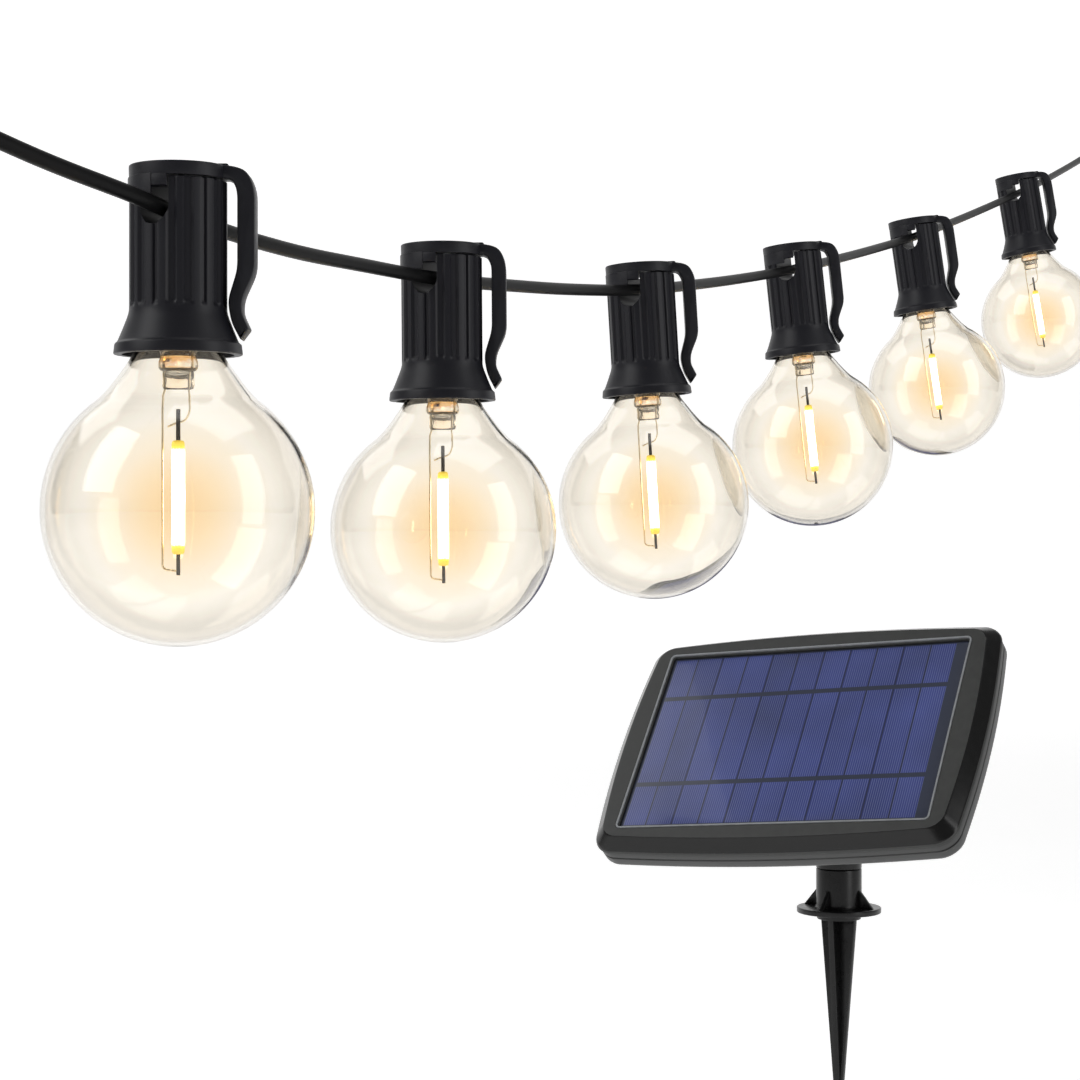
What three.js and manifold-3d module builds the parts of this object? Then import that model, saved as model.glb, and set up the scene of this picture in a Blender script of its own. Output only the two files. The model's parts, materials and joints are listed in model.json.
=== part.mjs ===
// Solar string lights: six globe lights on one hanging cable, and a solar panel on a ground stake.
// Millimetres, +Z up. The origin is on the stake's axis, at the underside of its ground flange.
import * as THREE from 'three';
import { mergeVertices } from 'three/addons/utils/BufferGeometryUtils.js';
import Module from 'manifold-3d';

const wasm = await Module();
wasm.setup();

// ---- Driving dimensions -------------------------------------------------------------------------

const GAP = 0.3; // clearance between pieces that touch
const OVERSHOOT = 1; // how far a cutting tool passes the face it opens

// One light, in its own frame: origin at the globe's centre, +Z along the socket's axis.
const GLOBE_R = 20;
const GLASS_WALL = 0.8;
const NECK_R = 7;
const NECK_Z = 22.8;
const GLOBE_SPHERE_END = THREE.MathUtils.degToRad(50); // latitude where the sphere turns into the neck
const BODY_R = 7.15;
const SKIRT_R = 9.44;
const SOCKET_Z = [22.8, 48.1];
const CAP_TOP = 50.4;
const SOCKET_BORE_R = 6.4;
const BASE_ROOT_R = 5.55;
const BASE_CREST_R = 5.95;
const THREAD_PITCH = 2.54;
const BASE_Z = [24.9, 36.8];
const TIP_TOP = 38.3;
const CABLE_BORE_R = 2.3;
const ARM_WIDTH = 4.4; // clip arm, across the side view
const STEM_R = 3;
const STEM_PRESS_R = 2.3;
const FILAMENT_R = 0.95;
const LEAD_R = 0.33;
const WIRE_X = -2.3;
const WIRE_R = 0.3;

// Places of the six globes, and how far each light leans off the vertical, in degrees.
const LIGHTS = [
  { at: [-167.7, -593.0, 147.0], lean: 0, crossing: 4 },
  { at: [-131.8, -516.8, 144.5], lean: 0.4, crossing: 7 },
  { at: [-90.8, -433.0, 150.3], lean: 3.4, crossing: 10 },
  { at: [-46.6, -334.3, 166.2], lean: 6, crossing: 13 },
  { at: [2.8, -218.6, 187.7], lean: 8.2, crossing: 16 },
  { at: [57.7, -97.2, 218.6], lean: 9.5, crossing: 19 },
];

// The cable's route, from the sealed end to the plug. A light's crossing is its point in this list.
const CABLE_R = 1.18;
const CABLE_STEPS = 76;
const ROUTE = [
  [-192.5, -631.3, 198.3],
  [-187.1, -624.3, 196.2],
  [-181.7, -617.3, 194.3],
  [-172.5, -604.3, 191.7],
  [-167.7, -593.0, 190.4],
  [-155.8, -567.6, 188.6],
  [-144.0, -542.2, 188.5],
  [-132.1, -516.8, 188.9],
  [-119.2, -488.9, 190.5],
  [-106.4, -460.9, 192.6],
  [-93.5, -433.0, 195.4],
  [-79.4, -400.1, 199.9],
  [-65.3, -367.2, 204.9],
  [-51.2, -334.3, 210.4],
  [-35.4, -295.7, 217.4],
  [-19.5, -257.2, 224.8],
  [-3.7, -218.6, 232.6],
  [14.3, -178.1, 242.1],
  [32.4, -137.7, 252.1],
  [50.4, -97.2, 262.4],
  [64.0, -67.0, 270.4],
  [77.5, -37.0, 278.8],
  [91.0, -7.0, 287.5],
  [100.8, 14.8, 294.2],
].map((p) => new THREE.Vector3(...p));

// Fittings on the cable's two ends.
const END_CAP_R = 2.6;
const END_CAP_LENGTH = 9;
const EYE_OUTER_R = 3.6;
const EYE_INNER_R = 2.1;
const EYE_THICKNESS = 2;
const PLUG_R = 4;
const PLUG_END_R = 3.4;
const PLUG_LENGTH = 17;
const END_CAP_EYE_Z = END_CAP_LENGTH + EYE_OUTER_R - 1;
const PLUG_EYE_Z = PLUG_LENGTH + EYE_OUTER_R - 1;
const HOOK_WIRE_R = 0.9;
const HOOK_BEND_R = 3.2;
const HOOK_SHANK = 14;
const HOOK_SEAT = 0.7; // how far the wire lies from the middle of the eye
const HOOK_ANGLES = [110, 80, 50, 20, -10, -40, -70, -100, -130]; // round the bend, from its lowest point

// Ground stake and stem.
const STEM_TUBE_R = 8.7;
const STEM_BORE_R = 6.9;
const STEM_TOP = 16.8;
const FLANGE_R = 16.1;
const FLANGE_THICKNESS = 2.1;
const GUSSET = { reach: 14.6, height: 8.9, thickness: 1.6 };
const SPIGOT_R = 6.5;
const SPIGOT_MEET_Z = 3; // where the stake's spigot ends and the stem head's begins
const COLLAR_R = 8.4;
const COLLAR_BOTTOM = -2.4;
const STAKE_TIP_Z = -77;
const BLADE_HALF_WIDTH = 7.2;
const BLADE_TIP_HALF_WIDTH = 0.9;
const BLADE_THICKNESS = 2.2;

// Pivot that carries the panel. The panel is yawed, tilted back and slightly turned on it.
const PIVOT_Z = 37.8;
const PANEL_YAW = THREE.MathUtils.degToRad(-34.5);
const PANEL_TILT = THREE.MathUtils.degToRad(-42.2);
const PANEL_TURN = THREE.MathUtils.degToRad(-6.3);
const PIVOT_TO_FACE = 48.4; // from the pivot forward to the panel's window
const EAR = { r: 6.5, inner: 3.6, outer: 6.8, hole: 2.3 };
const BRACKET_TONGUE_HALF = 3.3;
const BRACKET_FOOT_R = 14;
const BRACKET_FOOT_THICKNESS = 4;
const BOSS = { r: 5, flangeR: 6.6, flangeThickness: 1 }; // the bracket's boss, held behind the shell
const SCREW_R = 2;
const KNOB_R = 7.5;
const KNOB_THICKNESS = 5;

// Solar panel, in its own frame: x across, z up the face, y from the window backwards.
const PANEL = { width: 145, height: 100.5, corner: 9, bow: 2.2 };
const WINDOW = { width: 123, height: 82.4 };
const FACE_INSET = 4.2; // how far the chamfer narrows the front face
const FRAME_FRONT = -1.4;
const CHAMFER_DEPTH = 4.4;
const FRAME_BACK = 4;
const PLATE_THICKNESS = 2.6;
const RIM_BACK = 13;
const SHELL_BACK = 24;
const SHELL_WALL = 2.2;
const BACK_INSET = 15; // how far the rear shell narrows towards its back face
const BATTERY_R = 7.2;
const BATTERY_LENGTH = 49;
const BUTTON_R = 3.2;
const BUTTON_PLACES = { power_button: 26, mode_button: 42 };
const BUTTON_PROUD = 1.4;
const INLET_R = 4;
const INLET_POCKET_R = 2.4;
const INLET_PROUD = 2.5;
const INLET_X = -34;
const CONTROLS_Z = -20; // height of the buttons and the inlet on the back
const BATTERY_HEIGHT = 17;
const BOARD = { low: [8, 17.4, -30], high: [52, 19, -9] }; // opposite corners of the circuit board

// ---- Materials ----------------------------------------------------------------------------------

const LOOKS = {
  socketPlastic: { color: 0x17181d, roughness: 0.55, metalness: 0 },
  glass: { color: 0xf3ead9, roughness: 0.04, metalness: 0 },
  plated: { color: 0xc9c2b0, roughness: 0.3, metalness: 1 },
  solder: { color: 0xb4b4b4, roughness: 0.35, metalness: 1 },
  filament: { color: 0xfff0c0, roughness: 0.6, metalness: 0 },
  cable: { color: 0x0b0b0c, roughness: 0.45, metalness: 0 },
  steel: { color: 0x8f9296, roughness: 0.3, metalness: 1 },
  framePlastic: { color: 0x3b3d3c, roughness: 0.45, metalness: 0 },
  housingPlastic: { color: 0x2c2d2d, roughness: 0.5, metalness: 0 },
  cells: { color: 0x20265a, roughness: 0.2, metalness: 0.1 },
  battery: { color: 0x2f7d4f, roughness: 0.4, metalness: 0 },
  board: { color: 0x1f5a34, roughness: 0.5, metalness: 0 },
  stakePlastic: { color: 0x101112, roughness: 0.45, metalness: 0 },
  buttonRubber: { color: 0x54575a, roughness: 0.7, metalness: 0 },
};

// ---- Solid helpers ------------------------------------------------------------------------------

function solid(geometry) {
  const bare = geometry.clone();
  bare.deleteAttribute('normal');
  bare.deleteAttribute('uv');
  const merged = mergeVertices(bare, 1e-4);
  const vertProperties = new Float32Array(merged.attributes.position.array);
  const triVerts = new Uint32Array(merged.index.array);
  return new wasm.Manifold(new wasm.Mesh({ numProp: 3, vertProperties, triVerts }));
}

function toGeometry(manifold) {
  const mesh = manifold.getMesh();
  const geometry = new THREE.BufferGeometry();
  geometry.setAttribute('position', new THREE.BufferAttribute(mesh.vertProperties, 3));
  geometry.setIndex(new THREE.BufferAttribute(mesh.triVerts, 1));
  return geometry;
}

function join(first, ...others) {
  return toGeometry(others.reduce((whole, g) => whole.add(solid(g)), solid(first)));
}

function cut(first, ...tools) {
  return toGeometry(tools.reduce((whole, g) => whole.subtract(solid(g)), solid(first)));
}

// A closed outline of [radius, z] pairs, turned about the z axis.
function turned(profile, sides) {
  const points = profile.map(([r, z]) => new THREE.Vector2(r, z));
  return new THREE.LatheGeometry(points, sides).rotateX(Math.PI / 2);
}

function disc(radius, bottom, top, sides = 20) {
  return turned([[0, bottom], [radius, bottom], [radius, top], [0, top]], sides);
}

function box(low, high) {
  const size = high.map((h, k) => h - low[k]);
  const middle = high.map((h, k) => (h + low[k]) / 2);
  return new THREE.BoxGeometry(...size).translate(...middle);
}

// A round bar from one point to another.
function bar(radius, from, to, sides = 8) {
  const start = new THREE.Vector3(...from);
  const along = new THREE.Vector3(...to).sub(start);
  const turn = new THREE.Quaternion().setFromUnitVectors(
    new THREE.Vector3(0, 0, 1),
    along.clone().normalize(),
  );
  return disc(radius, 0, along.length(), sides).applyQuaternion(turn).translate(...from);
}

// An outline in x and z, made as thick as the stretch from y = front to y = back.
function plate(outline, front, back) {
  const shape = new THREE.Shape(outline.map(([x, z]) => new THREE.Vector2(x, z)));
  const geometry = new THREE.ExtrudeGeometry(shape, { depth: back - front, bevelEnabled: false });
  return geometry.rotateX(Math.PI / 2).translate(0, back, 0);
}

// Rings of [x, y, z] points with equal counts, skinned one to the next and closed at both ends.
function skinned(rings) {
  const count = rings[0].length;
  const centre = (ring) => [0, 1, 2].map((k) => ring.reduce((sum, p) => sum + p[k], 0) / count);
  const vertices = [...rings.flat(), centre(rings[0]), centre(rings[rings.length - 1])];
  const index = [];
  for (let r = 0; r + 1 < rings.length; r += 1) {
    for (let k = 0; k < count; k += 1) {
      const a = r * count + k;
      const b = r * count + ((k + 1) % count);
      index.push(a, b, b + count, a, b + count, a + count);
    }
  }
  const first = rings.length * count;
  const lastRing = first - count;
  for (let k = 0; k < count; k += 1) {
    const next = (k + 1) % count;
    index.push(first, next, k);
    index.push(first + 1, lastRing + k, lastRing + next);
  }
  const geometry = new THREE.BufferGeometry();
  geometry.setAttribute('position', new THREE.Float32BufferAttribute(vertices.flat(), 3));
  geometry.setIndex(index);
  return geometry;
}

function part(name, geometry, look) {
  const mesh = new THREE.Mesh(geometry, new THREE.MeshStandardMaterial(LOOKS[look]));
  mesh.name = name;
  return mesh;
}

// ---- One light ----------------------------------------------------------------------------------

// The lampholder: a round body with a flared skirt, a bore for the bulb and a hole for the cable.
function socket(cableFrom, cableTo) {
  const body = turned(
    [
      [0, TIP_TOP + 0.7],
      [SOCKET_BORE_R, TIP_TOP + 0.7],
      [SOCKET_BORE_R, 25.6],
      [8.2, 25],
      [8.2, SOCKET_Z[0]],
      [SKIRT_R, SOCKET_Z[0]],
      [8.8, 24.9],
      [BODY_R, 28.7],
      [BODY_R, SOCKET_Z[1]],
      [0, SOCKET_Z[1]],
    ],
    16,
  );
  return cut(body, bar(CABLE_BORE_R, cableFrom, cableTo, 8));
}

// The cap that closes the top, moulded in one with the springy clip arm down the side.
function cap() {
  const arm = [
    [5, CAP_TOP],
    [8.2, CAP_TOP],
    [10.2, 49.7],
    [11.46, 47.2],
    [11.46, 34.9],
    [9.6, 30.9],
    [9.5, 28.8],
    [10.6, 26.4],
    [9.3, 24.8],
    [7.9, 27.6],
    [7.5, 30.6],
    [8.85, 35.2],
    [8.85, 46.4],
    [8.3, 48],
    [7.6, 48.4],
    [5, 48.4],
  ];
  const top = disc(BODY_R, SOCKET_Z[1] + GAP, CAP_TOP, 16);
  return join(top, plate(arm, -ARM_WIDTH / 2, ARM_WIDTH / 2));
}

// The hollow glass globe, open at the end of its neck.
function globe() {
  const steps = 6;
  const outline = (radius, neck, neckZ) => {
    const points = [];
    for (let k = 0; k <= steps; k += 1) {
      const latitude = -Math.PI / 2 + (GLOBE_SPHERE_END + Math.PI / 2) * (k / steps);
      points.push([radius * Math.cos(latitude), radius * Math.sin(latitude)]);
    }
    points[0][0] = 0;
    return [...points, [neck, neckZ], [neck - 2.3, neckZ + 2], [neck - 2.3, 27]];
  };
  const outside = outline(GLOBE_R, NECK_R, NECK_Z);
  const inside = outline(GLOBE_R - GLASS_WALL, NECK_R - GLASS_WALL, NECK_Z);
  return turned([...outside, ...inside.reverse()], 12);
}

// The threaded metal shell. The thread is drawn as rings, one for each turn.
function screwBase() {
  const [bottom, top] = BASE_Z;
  const ribs = [];
  for (let z = bottom + THREAD_PITCH; z < top - THREAD_PITCH; z += THREAD_PITCH) {
    ribs.push([BASE_ROOT_R, z - THREAD_PITCH / 2], [BASE_CREST_R, z]);
  }
  const profile = [
    [0, top - 0.8],
    [5.25, top - 0.8],
    [5.25, bottom],
    [BASE_ROOT_R, bottom],
    ...ribs,
    [BASE_ROOT_R, top - 1.5],
    [3.4, top],
    [0, top],
  ];
  return turned(profile, 10);
}

function contactTip() {
  return turned([[0, BASE_Z[1] + GAP], [2.2, BASE_Z[1] + GAP], [1.5, TIP_TOP], [0, TIP_TOP]], 8);
}

// The glass stem with its flattened press, and the wire that runs down beside the filament.
function stem() {
  const glass = turned(
    [[0, 17.3], [STEM_PRESS_R, 17.3], [STEM_PRESS_R, 20], [STEM_R, 20.4], [STEM_R, 26.5], [0, 26.5]],
    8,
  );
  const support = bar(WIRE_R, [WIRE_X + 0.4, 0, 19], [WIRE_X, 0, -8.9], 4);
  const foot = bar(WIRE_R, [WIRE_X - 0.1, 0, -8.6], [-LEAD_R - GAP, 0, -8.6], 4);
  return join(glass, support, foot);
}

function filament() {
  return turned(
    [
      [0, -9.5],
      [LEAD_R, -9.5],
      [LEAD_R, -6.4],
      [FILAMENT_R, -6.2],
      [FILAMENT_R, 10.1],
      [LEAD_R, 10.3],
      [LEAD_R, 14.9],
      [0, 14.9],
    ],
    6,
  );
}

function light(number, { at, lean, crossing }) {
  const group = new THREE.Group();
  group.position.set(...at);
  group.rotation.y = -THREE.MathUtils.degToRad(lean);
  group.updateMatrixWorld();
  const along = ROUTE[crossing + 1].clone().sub(ROUTE[crossing - 1]).normalize();
  const reach = along.multiplyScalar(BODY_R + 6 * OVERSHOOT);
  const ends = [ROUTE[crossing].clone().sub(reach), ROUTE[crossing].clone().add(reach)];
  const [from, to] = ends.map((p) => group.worldToLocal(p).toArray());
  const name = (piece) => `light_${number}_${piece}`;
  group.add(
    part(name('socket'), socket(from, to), 'socketPlastic'),
    part(name('cap'), cap(), 'socketPlastic'),
    part(name('globe'), globe(), 'glass'),
    part(name('screw_base'), screwBase(), 'plated'),
    part(name('contact_tip'), contactTip(), 'solder'),
    part(name('stem'), stem(), 'glass'),
    part(name('filament'), filament(), 'filament'),
  );
  return group;
}

// ---- The cable and what holds its ends ----------------------------------------------------------

function cable() {
  const section = new THREE.Shape();
  section.absarc(0, 0, CABLE_R, 0, 2 * Math.PI);
  const path = new THREE.CatmullRomCurve3(ROUTE);
  return new THREE.ExtrudeGeometry(section, {
    steps: CABLE_STEPS,
    curveSegments: 4,
    bevelEnabled: false,
    extrudePath: path,
  });
}

// A group whose +Z leads off the cable's end, with its x axis level.
function cableEnd(end, inner) {
  const outward = end.clone().sub(inner).normalize();
  const side = new THREE.Vector3().crossVectors(new THREE.Vector3(0, 0, 1), outward).normalize();
  const up = new THREE.Vector3().crossVectors(outward, side);
  const group = new THREE.Group();
  group.quaternion.setFromRotationMatrix(new THREE.Matrix4().makeBasis(side, up, outward));
  group.position.copy(end);
  return group;
}

// A flat eye that lies in the plane of x = 0, with its hole's centre on the z axis.
function eye(centreZ) {
  const across = (radius, half, sides) => bar(radius, [-half, 0, centreZ], [half, 0, centreZ], sides);
  return [
    across(EYE_OUTER_R, EYE_THICKNESS / 2, 16),
    across(EYE_INNER_R, EYE_THICKNESS / 2 + OVERSHOOT, 12),
  ];
}

function endCap() {
  const [ring, hole] = eye(END_CAP_EYE_Z);
  return cut(join(disc(END_CAP_R, GAP, END_CAP_LENGTH, 12), ring), hole);
}

function plug() {
  const [ring, hole] = eye(PLUG_EYE_Z);
  const body = turned(
    [
      [0, GAP],
      [2.2, GAP],
      [3.2, 4],
      [PLUG_R, 5],
      [PLUG_R, 13],
      [PLUG_END_R, 14],
      [PLUG_END_R, PLUG_LENGTH],
      [0, PLUG_LENGTH],
    ],
    14,
  );
  return cut(join(body, ring), hole);
}

// A wire screw hook: most of a turn that passes through the eye, then a straight shank.
function hook(eyeCentreZ) {
  const centreZ = eyeCentreZ + HOOK_SEAT + HOOK_BEND_R;
  const points = HOOK_ANGLES.map((degrees) => {
    const angle = THREE.MathUtils.degToRad(degrees);
    return new THREE.Vector3(HOOK_BEND_R * Math.sin(angle), 0, centreZ - HOOK_BEND_R * Math.cos(angle));
  });
  const shankStart = centreZ + HOOK_BEND_R + 1.2;
  points.push(new THREE.Vector3(0, 0, shankStart), new THREE.Vector3(0, 0, shankStart + HOOK_SHANK));
  const section = new THREE.Shape();
  section.absarc(0, 0, HOOK_WIRE_R, 0, 2 * Math.PI);
  return new THREE.ExtrudeGeometry(section, {
    steps: 20,
    curveSegments: 3,
    bevelEnabled: false,
    extrudePath: new THREE.CatmullRomCurve3(points),
  });
}

// ---- Stake and stem -----------------------------------------------------------------------------

function stemTube() {
  const tube = turned(
    [
      [STEM_BORE_R, 0],
      [FLANGE_R, 0],
      [FLANGE_R, FLANGE_THICKNESS],
      [STEM_TUBE_R, FLANGE_THICKNESS],
      [STEM_TUBE_R, STEM_TOP],
      [STEM_BORE_R, STEM_TOP],
      [STEM_BORE_R, 0],
    ],
    24,
  );
  const { reach, height, thickness } = GUSSET;
  const outline = [
    [STEM_TUBE_R - OVERSHOOT, FLANGE_THICKNESS - OVERSHOOT],
    [reach, FLANGE_THICKNESS - OVERSHOOT],
    [reach, FLANGE_THICKNESS],
    [STEM_TUBE_R, height],
    [STEM_TUBE_R - OVERSHOOT, height],
  ];
  const gussets = [0, 1, 2, 3].map((quarter) =>
    plate(outline, -thickness / 2, thickness / 2).rotateZ(PANEL_YAW + (quarter * Math.PI) / 2),
  );
  return join(tube, ...gussets);
}

function groundStake() {
  const blade = [
    [-BLADE_HALF_WIDTH, COLLAR_BOTTOM + OVERSHOOT],
    [-BLADE_HALF_WIDTH, COLLAR_BOTTOM - OVERSHOOT],
    [-BLADE_TIP_HALF_WIDTH, STAKE_TIP_Z],
    [BLADE_TIP_HALF_WIDTH, STAKE_TIP_Z],
    [BLADE_HALF_WIDTH, COLLAR_BOTTOM - OVERSHOOT],
    [BLADE_HALF_WIDTH, COLLAR_BOTTOM + OVERSHOOT],
  ];
  const half = BLADE_THICKNESS / 2;
  const head = turned(
    [
      [0, COLLAR_BOTTOM],
      [COLLAR_R, COLLAR_BOTTOM],
      [COLLAR_R, -GAP],
      [SPIGOT_R, -GAP],
      [SPIGOT_R, SPIGOT_MEET_Z - GAP],
      [0, SPIGOT_MEET_Z - GAP],
    ],
    20,
  );
  const blades = [0, Math.PI / 2].map((turn) => plate(blade, -half, half).rotateZ(PANEL_YAW + turn));
  return join(head, ...blades);
}

// The part that turns in the stem tube and carries the tilt pivot between its two ears.
function stemHead() {
  const neck = turned(
    [
      [0, SPIGOT_MEET_Z],
      [SPIGOT_R, SPIGOT_MEET_Z],
      [SPIGOT_R, STEM_TOP + GAP],
      [STEM_TUBE_R, STEM_TOP + GAP],
      [STEM_TUBE_R, 27],
      [6.6, 30],
      [0, 30],
    ],
    16,
  );
  const ear = (from, to) =>
    join(
      bar(EAR.r, [from, 0, PIVOT_Z], [to, 0, PIVOT_Z], 14),
      box([from, -EAR.r + 0.6, 27.5], [to, EAR.r - 0.6, PIVOT_Z]),
    );
  const fork = join(neck, ear(-EAR.outer, -EAR.inner), ear(EAR.inner, EAR.outer));
  const pinHole = bar(EAR.hole, [-9, 0, PIVOT_Z], [9, 0, PIVOT_Z], 10);
  const clearance = bar(EAR.r + 0.6, [-EAR.inner, 0, PIVOT_Z], [EAR.inner, 0, PIVOT_Z], 14);
  return cut(fork, pinHole, clearance);
}

// The clamping screw of the tilt joint, with its round knob.
function thumbscrew() {
  const knobStart = EAR.outer + GAP;
  const screw = bar(SCREW_R, [-EAR.outer - 1.5, 0, 0], [knobStart + OVERSHOOT, 0, 0], 12);
  const knob = bar(KNOB_R, [knobStart, 0, 0], [knobStart + KNOB_THICKNESS, 0, 0], 14);
  return join(screw, knob);
}

// The bracket between the stem head and the back of the panel, in the panel's tilted frame.
function tiltBracket() {
  const shellBack = SHELL_BACK - PIVOT_TO_FACE;
  const footBack = shellBack + GAP + BRACKET_FOOT_THICKNESS;
  const half = BRACKET_TONGUE_HALF;
  const knuckle = bar(EAR.r, [-half, 0, 0], [half, 0, 0], 14);
  const tongue = box([-half, footBack - OVERSHOOT, -5.9], [half, 0, 5.9]);
  const foot = disc(BRACKET_FOOT_R, 0, BRACKET_FOOT_THICKNESS, 20)
    .rotateX(Math.PI / 2)
    .translate(0, footBack, 0);
  const bossEnd = shellBack - SHELL_WALL - GAP - BOSS.flangeThickness;
  const boss = bar(BOSS.r, [0, footBack - OVERSHOOT, 0], [0, bossEnd, 0], 16);
  const flange = bar(BOSS.flangeR, [0, bossEnd + BOSS.flangeThickness, 0], [0, bossEnd, 0], 16);
  const pinHole = bar(EAR.hole, [-half - OVERSHOOT, 0, 0], [half + OVERSHOOT, 0, 0], 12);
  return cut(join(knuckle, tongue, foot, boss, flange), pinHole);
}

// ---- Solar panel --------------------------------------------------------------------------------

// The panel's outline as a ring at one depth: rounded corners, and sides that bow outwards.
function panelRing(inset, y) {
  const halfWidth = PANEL.width / 2 - inset;
  const halfHeight = PANEL.height / 2 - inset;
  const corner = Math.max(PANEL.corner - inset * 0.5, 2);
  const arc = 2;
  const ring = [];
  for (let q = 0; q < 4; q += 1) {
    const sx = q === 0 || q === 3 ? 1 : -1;
    const sz = q < 2 ? 1 : -1;
    for (let k = 0; k <= arc; k += 1) {
      const angle = (q + k / arc) * (Math.PI / 2);
      ring.push([
        sx * (halfWidth - corner) + corner * Math.cos(angle),
        y,
        sz * (halfHeight - corner) + corner * Math.sin(angle),
      ]);
    }
    const onTopOrBottom = q % 2 === 0;
    for (const share of [0.25, 0.5, 0.75]) {
      const along = 1 - 2 * share;
      const bulge = PANEL.bow * (1 - along * along);
      const wide = (halfWidth - corner) * along * sx;
      const tall = (halfHeight - corner) * along * sz;
      ring.push(onTopOrBottom ? [wide, y, sz * (halfHeight + bulge)] : [sx * (halfWidth + bulge), y, tall]);
    }
  }
  return ring;
}

function frontFrame() {
  const body = skinned([
    panelRing(FACE_INSET, FRAME_FRONT),
    panelRing(0, FRAME_FRONT + CHAMFER_DEPTH),
    panelRing(0, FRAME_BACK),
  ].reverse());
  const halfW = WINDOW.width / 2;
  const halfH = WINDOW.height / 2;
  return cut(body, box([-halfW, FRAME_FRONT - 1, -halfH], [halfW, FRAME_BACK + 1, halfH]));
}

function solarPlate() {
  const halfW = WINDOW.width / 2 - GAP;
  const halfH = WINDOW.height / 2 - GAP;
  return box([-halfW, 0, -halfH], [halfW, PLATE_THICKNESS, halfH]);
}

// The rear shell: a rim as wide as the frame, narrowing to a flat back, open towards the front.
function rearHousing() {
  const front = FRAME_BACK + GAP;
  const outside = skinned([
    panelRing(0.4, front),
    panelRing(0.4, RIM_BACK - 2),
    panelRing(3, RIM_BACK),
    panelRing(BACK_INSET, SHELL_BACK - 2),
    panelRing(BACK_INSET + 2, SHELL_BACK),
  ].reverse());
  const inside = skinned([
    panelRing(0.4 + SHELL_WALL, front - OVERSHOOT),
    panelRing(0.4 + SHELL_WALL, RIM_BACK - 3),
    panelRing(BACK_INSET + SHELL_WALL, SHELL_BACK - SHELL_WALL),
  ].reverse());
  const through = (radius, x, z) => bar(radius, [x, SHELL_BACK - 5, z], [x, SHELL_BACK + 1, z], 16);
  const holes = Object.values(BUTTON_PLACES).map((x) => through(BUTTON_R + GAP, x, CONTROLS_Z));
  const inletHole = through(INLET_R + GAP, INLET_X, CONTROLS_Z);
  return cut(outside, inside, ...holes, inletHole, through(BOSS.r + GAP, 0, 0));
}

function battery() {
  const y = SHELL_BACK - SHELL_WALL - BATTERY_R - 1;
  const half = BATTERY_LENGTH / 2;
  return bar(BATTERY_R, [-half, y, BATTERY_HEIGHT], [half, y, BATTERY_HEIGHT], 12);
}

function circuitBoard() {
  return box(BOARD.low, BOARD.high);
}

// A push button: a round cap that stands proud of the shell, with a flange behind the wall.
function button(x) {
  const flangeTop = SHELL_BACK - SHELL_WALL - GAP;
  const stretch = (radius, from, to) => bar(radius, [x, from, CONTROLS_Z], [x, to, CONTROLS_Z], 12);
  const stub = stretch(BUTTON_R, flangeTop - 0.5, SHELL_BACK + BUTTON_PROUD);
  const flange = stretch(BUTTON_R + 1, flangeTop - 1, flangeTop);
  return join(stub, flange);
}

// The inlet for the string's lead: a round socket, open at the back.
function cableInlet() {
  const back = SHELL_BACK + INLET_PROUD;
  const stretch = (radius, from, to, sides) =>
    bar(radius, [INLET_X, from, CONTROLS_Z], [INLET_X, to, CONTROLS_Z], sides);
  const body = stretch(INLET_R, SHELL_BACK - 7, back, 14);
  const pocket = stretch(INLET_POCKET_R, SHELL_BACK - 4, back + OVERSHOOT, 12);
  return cut(body, pocket);
}

function solarPanel() {
  const group = new THREE.Group();
  group.add(
    part('front_frame', frontFrame(), 'framePlastic'),
    part('solar_plate', solarPlate(), 'cells'),
    part('rear_housing', rearHousing(), 'housingPlastic'),
    part('battery', battery(), 'battery'),
    part('circuit_board', circuitBoard(), 'board'),
    part('cable_inlet', cableInlet(), 'buttonRubber'),
  );
  for (const [name, x] of Object.entries(BUTTON_PLACES)) {
    group.add(part(name, button(x), 'buttonRubber'));
  }
  return group;
}

// ---- Assembly -----------------------------------------------------------------------------------

const stringLights = new THREE.Group();
LIGHTS.forEach((place, index) => stringLights.add(light(index + 1, place)));

const start = cableEnd(ROUTE[0], ROUTE[1]);
start.add(part('cable_end_cap', endCap(), 'cable'));
start.add(part('end_cap_hook', hook(END_CAP_EYE_Z), 'steel'));

const finish = cableEnd(ROUTE[ROUTE.length - 1], ROUTE[ROUTE.length - 2]);
finish.add(part('string_plug', plug(), 'cable'));
finish.add(part('plug_hook', hook(PLUG_EYE_Z), 'steel'));

const panel = solarPanel();
panel.position.y = -PIVOT_TO_FACE;
panel.rotation.y = PANEL_TURN;

const tilted = new THREE.Group();
tilted.position.z = PIVOT_Z;
tilted.rotation.x = PANEL_TILT;
tilted.add(part('tilt_bracket', tiltBracket(), 'housingPlastic'), panel);

const screw = part('tilt_thumbscrew', thumbscrew(), 'housingPlastic');
screw.position.z = PIVOT_Z;

const head = new THREE.Group();
head.rotation.z = PANEL_YAW;
head.add(part('stem_head', stemHead(), 'stakePlastic'), screw, tilted);

stringLights.add(
  part('string_cable', cable(), 'cable'),
  start,
  finish,
  part('stem_tube', stemTube(), 'stakePlastic'),
  part('ground_stake', groundStake(), 'stakePlastic'),
  head,
);

export default stringLights;
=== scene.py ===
import json
import math

import bpy
import bmesh
from mathutils import Matrix, Vector
from mathutils.geometry import interpolate_bezier


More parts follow.
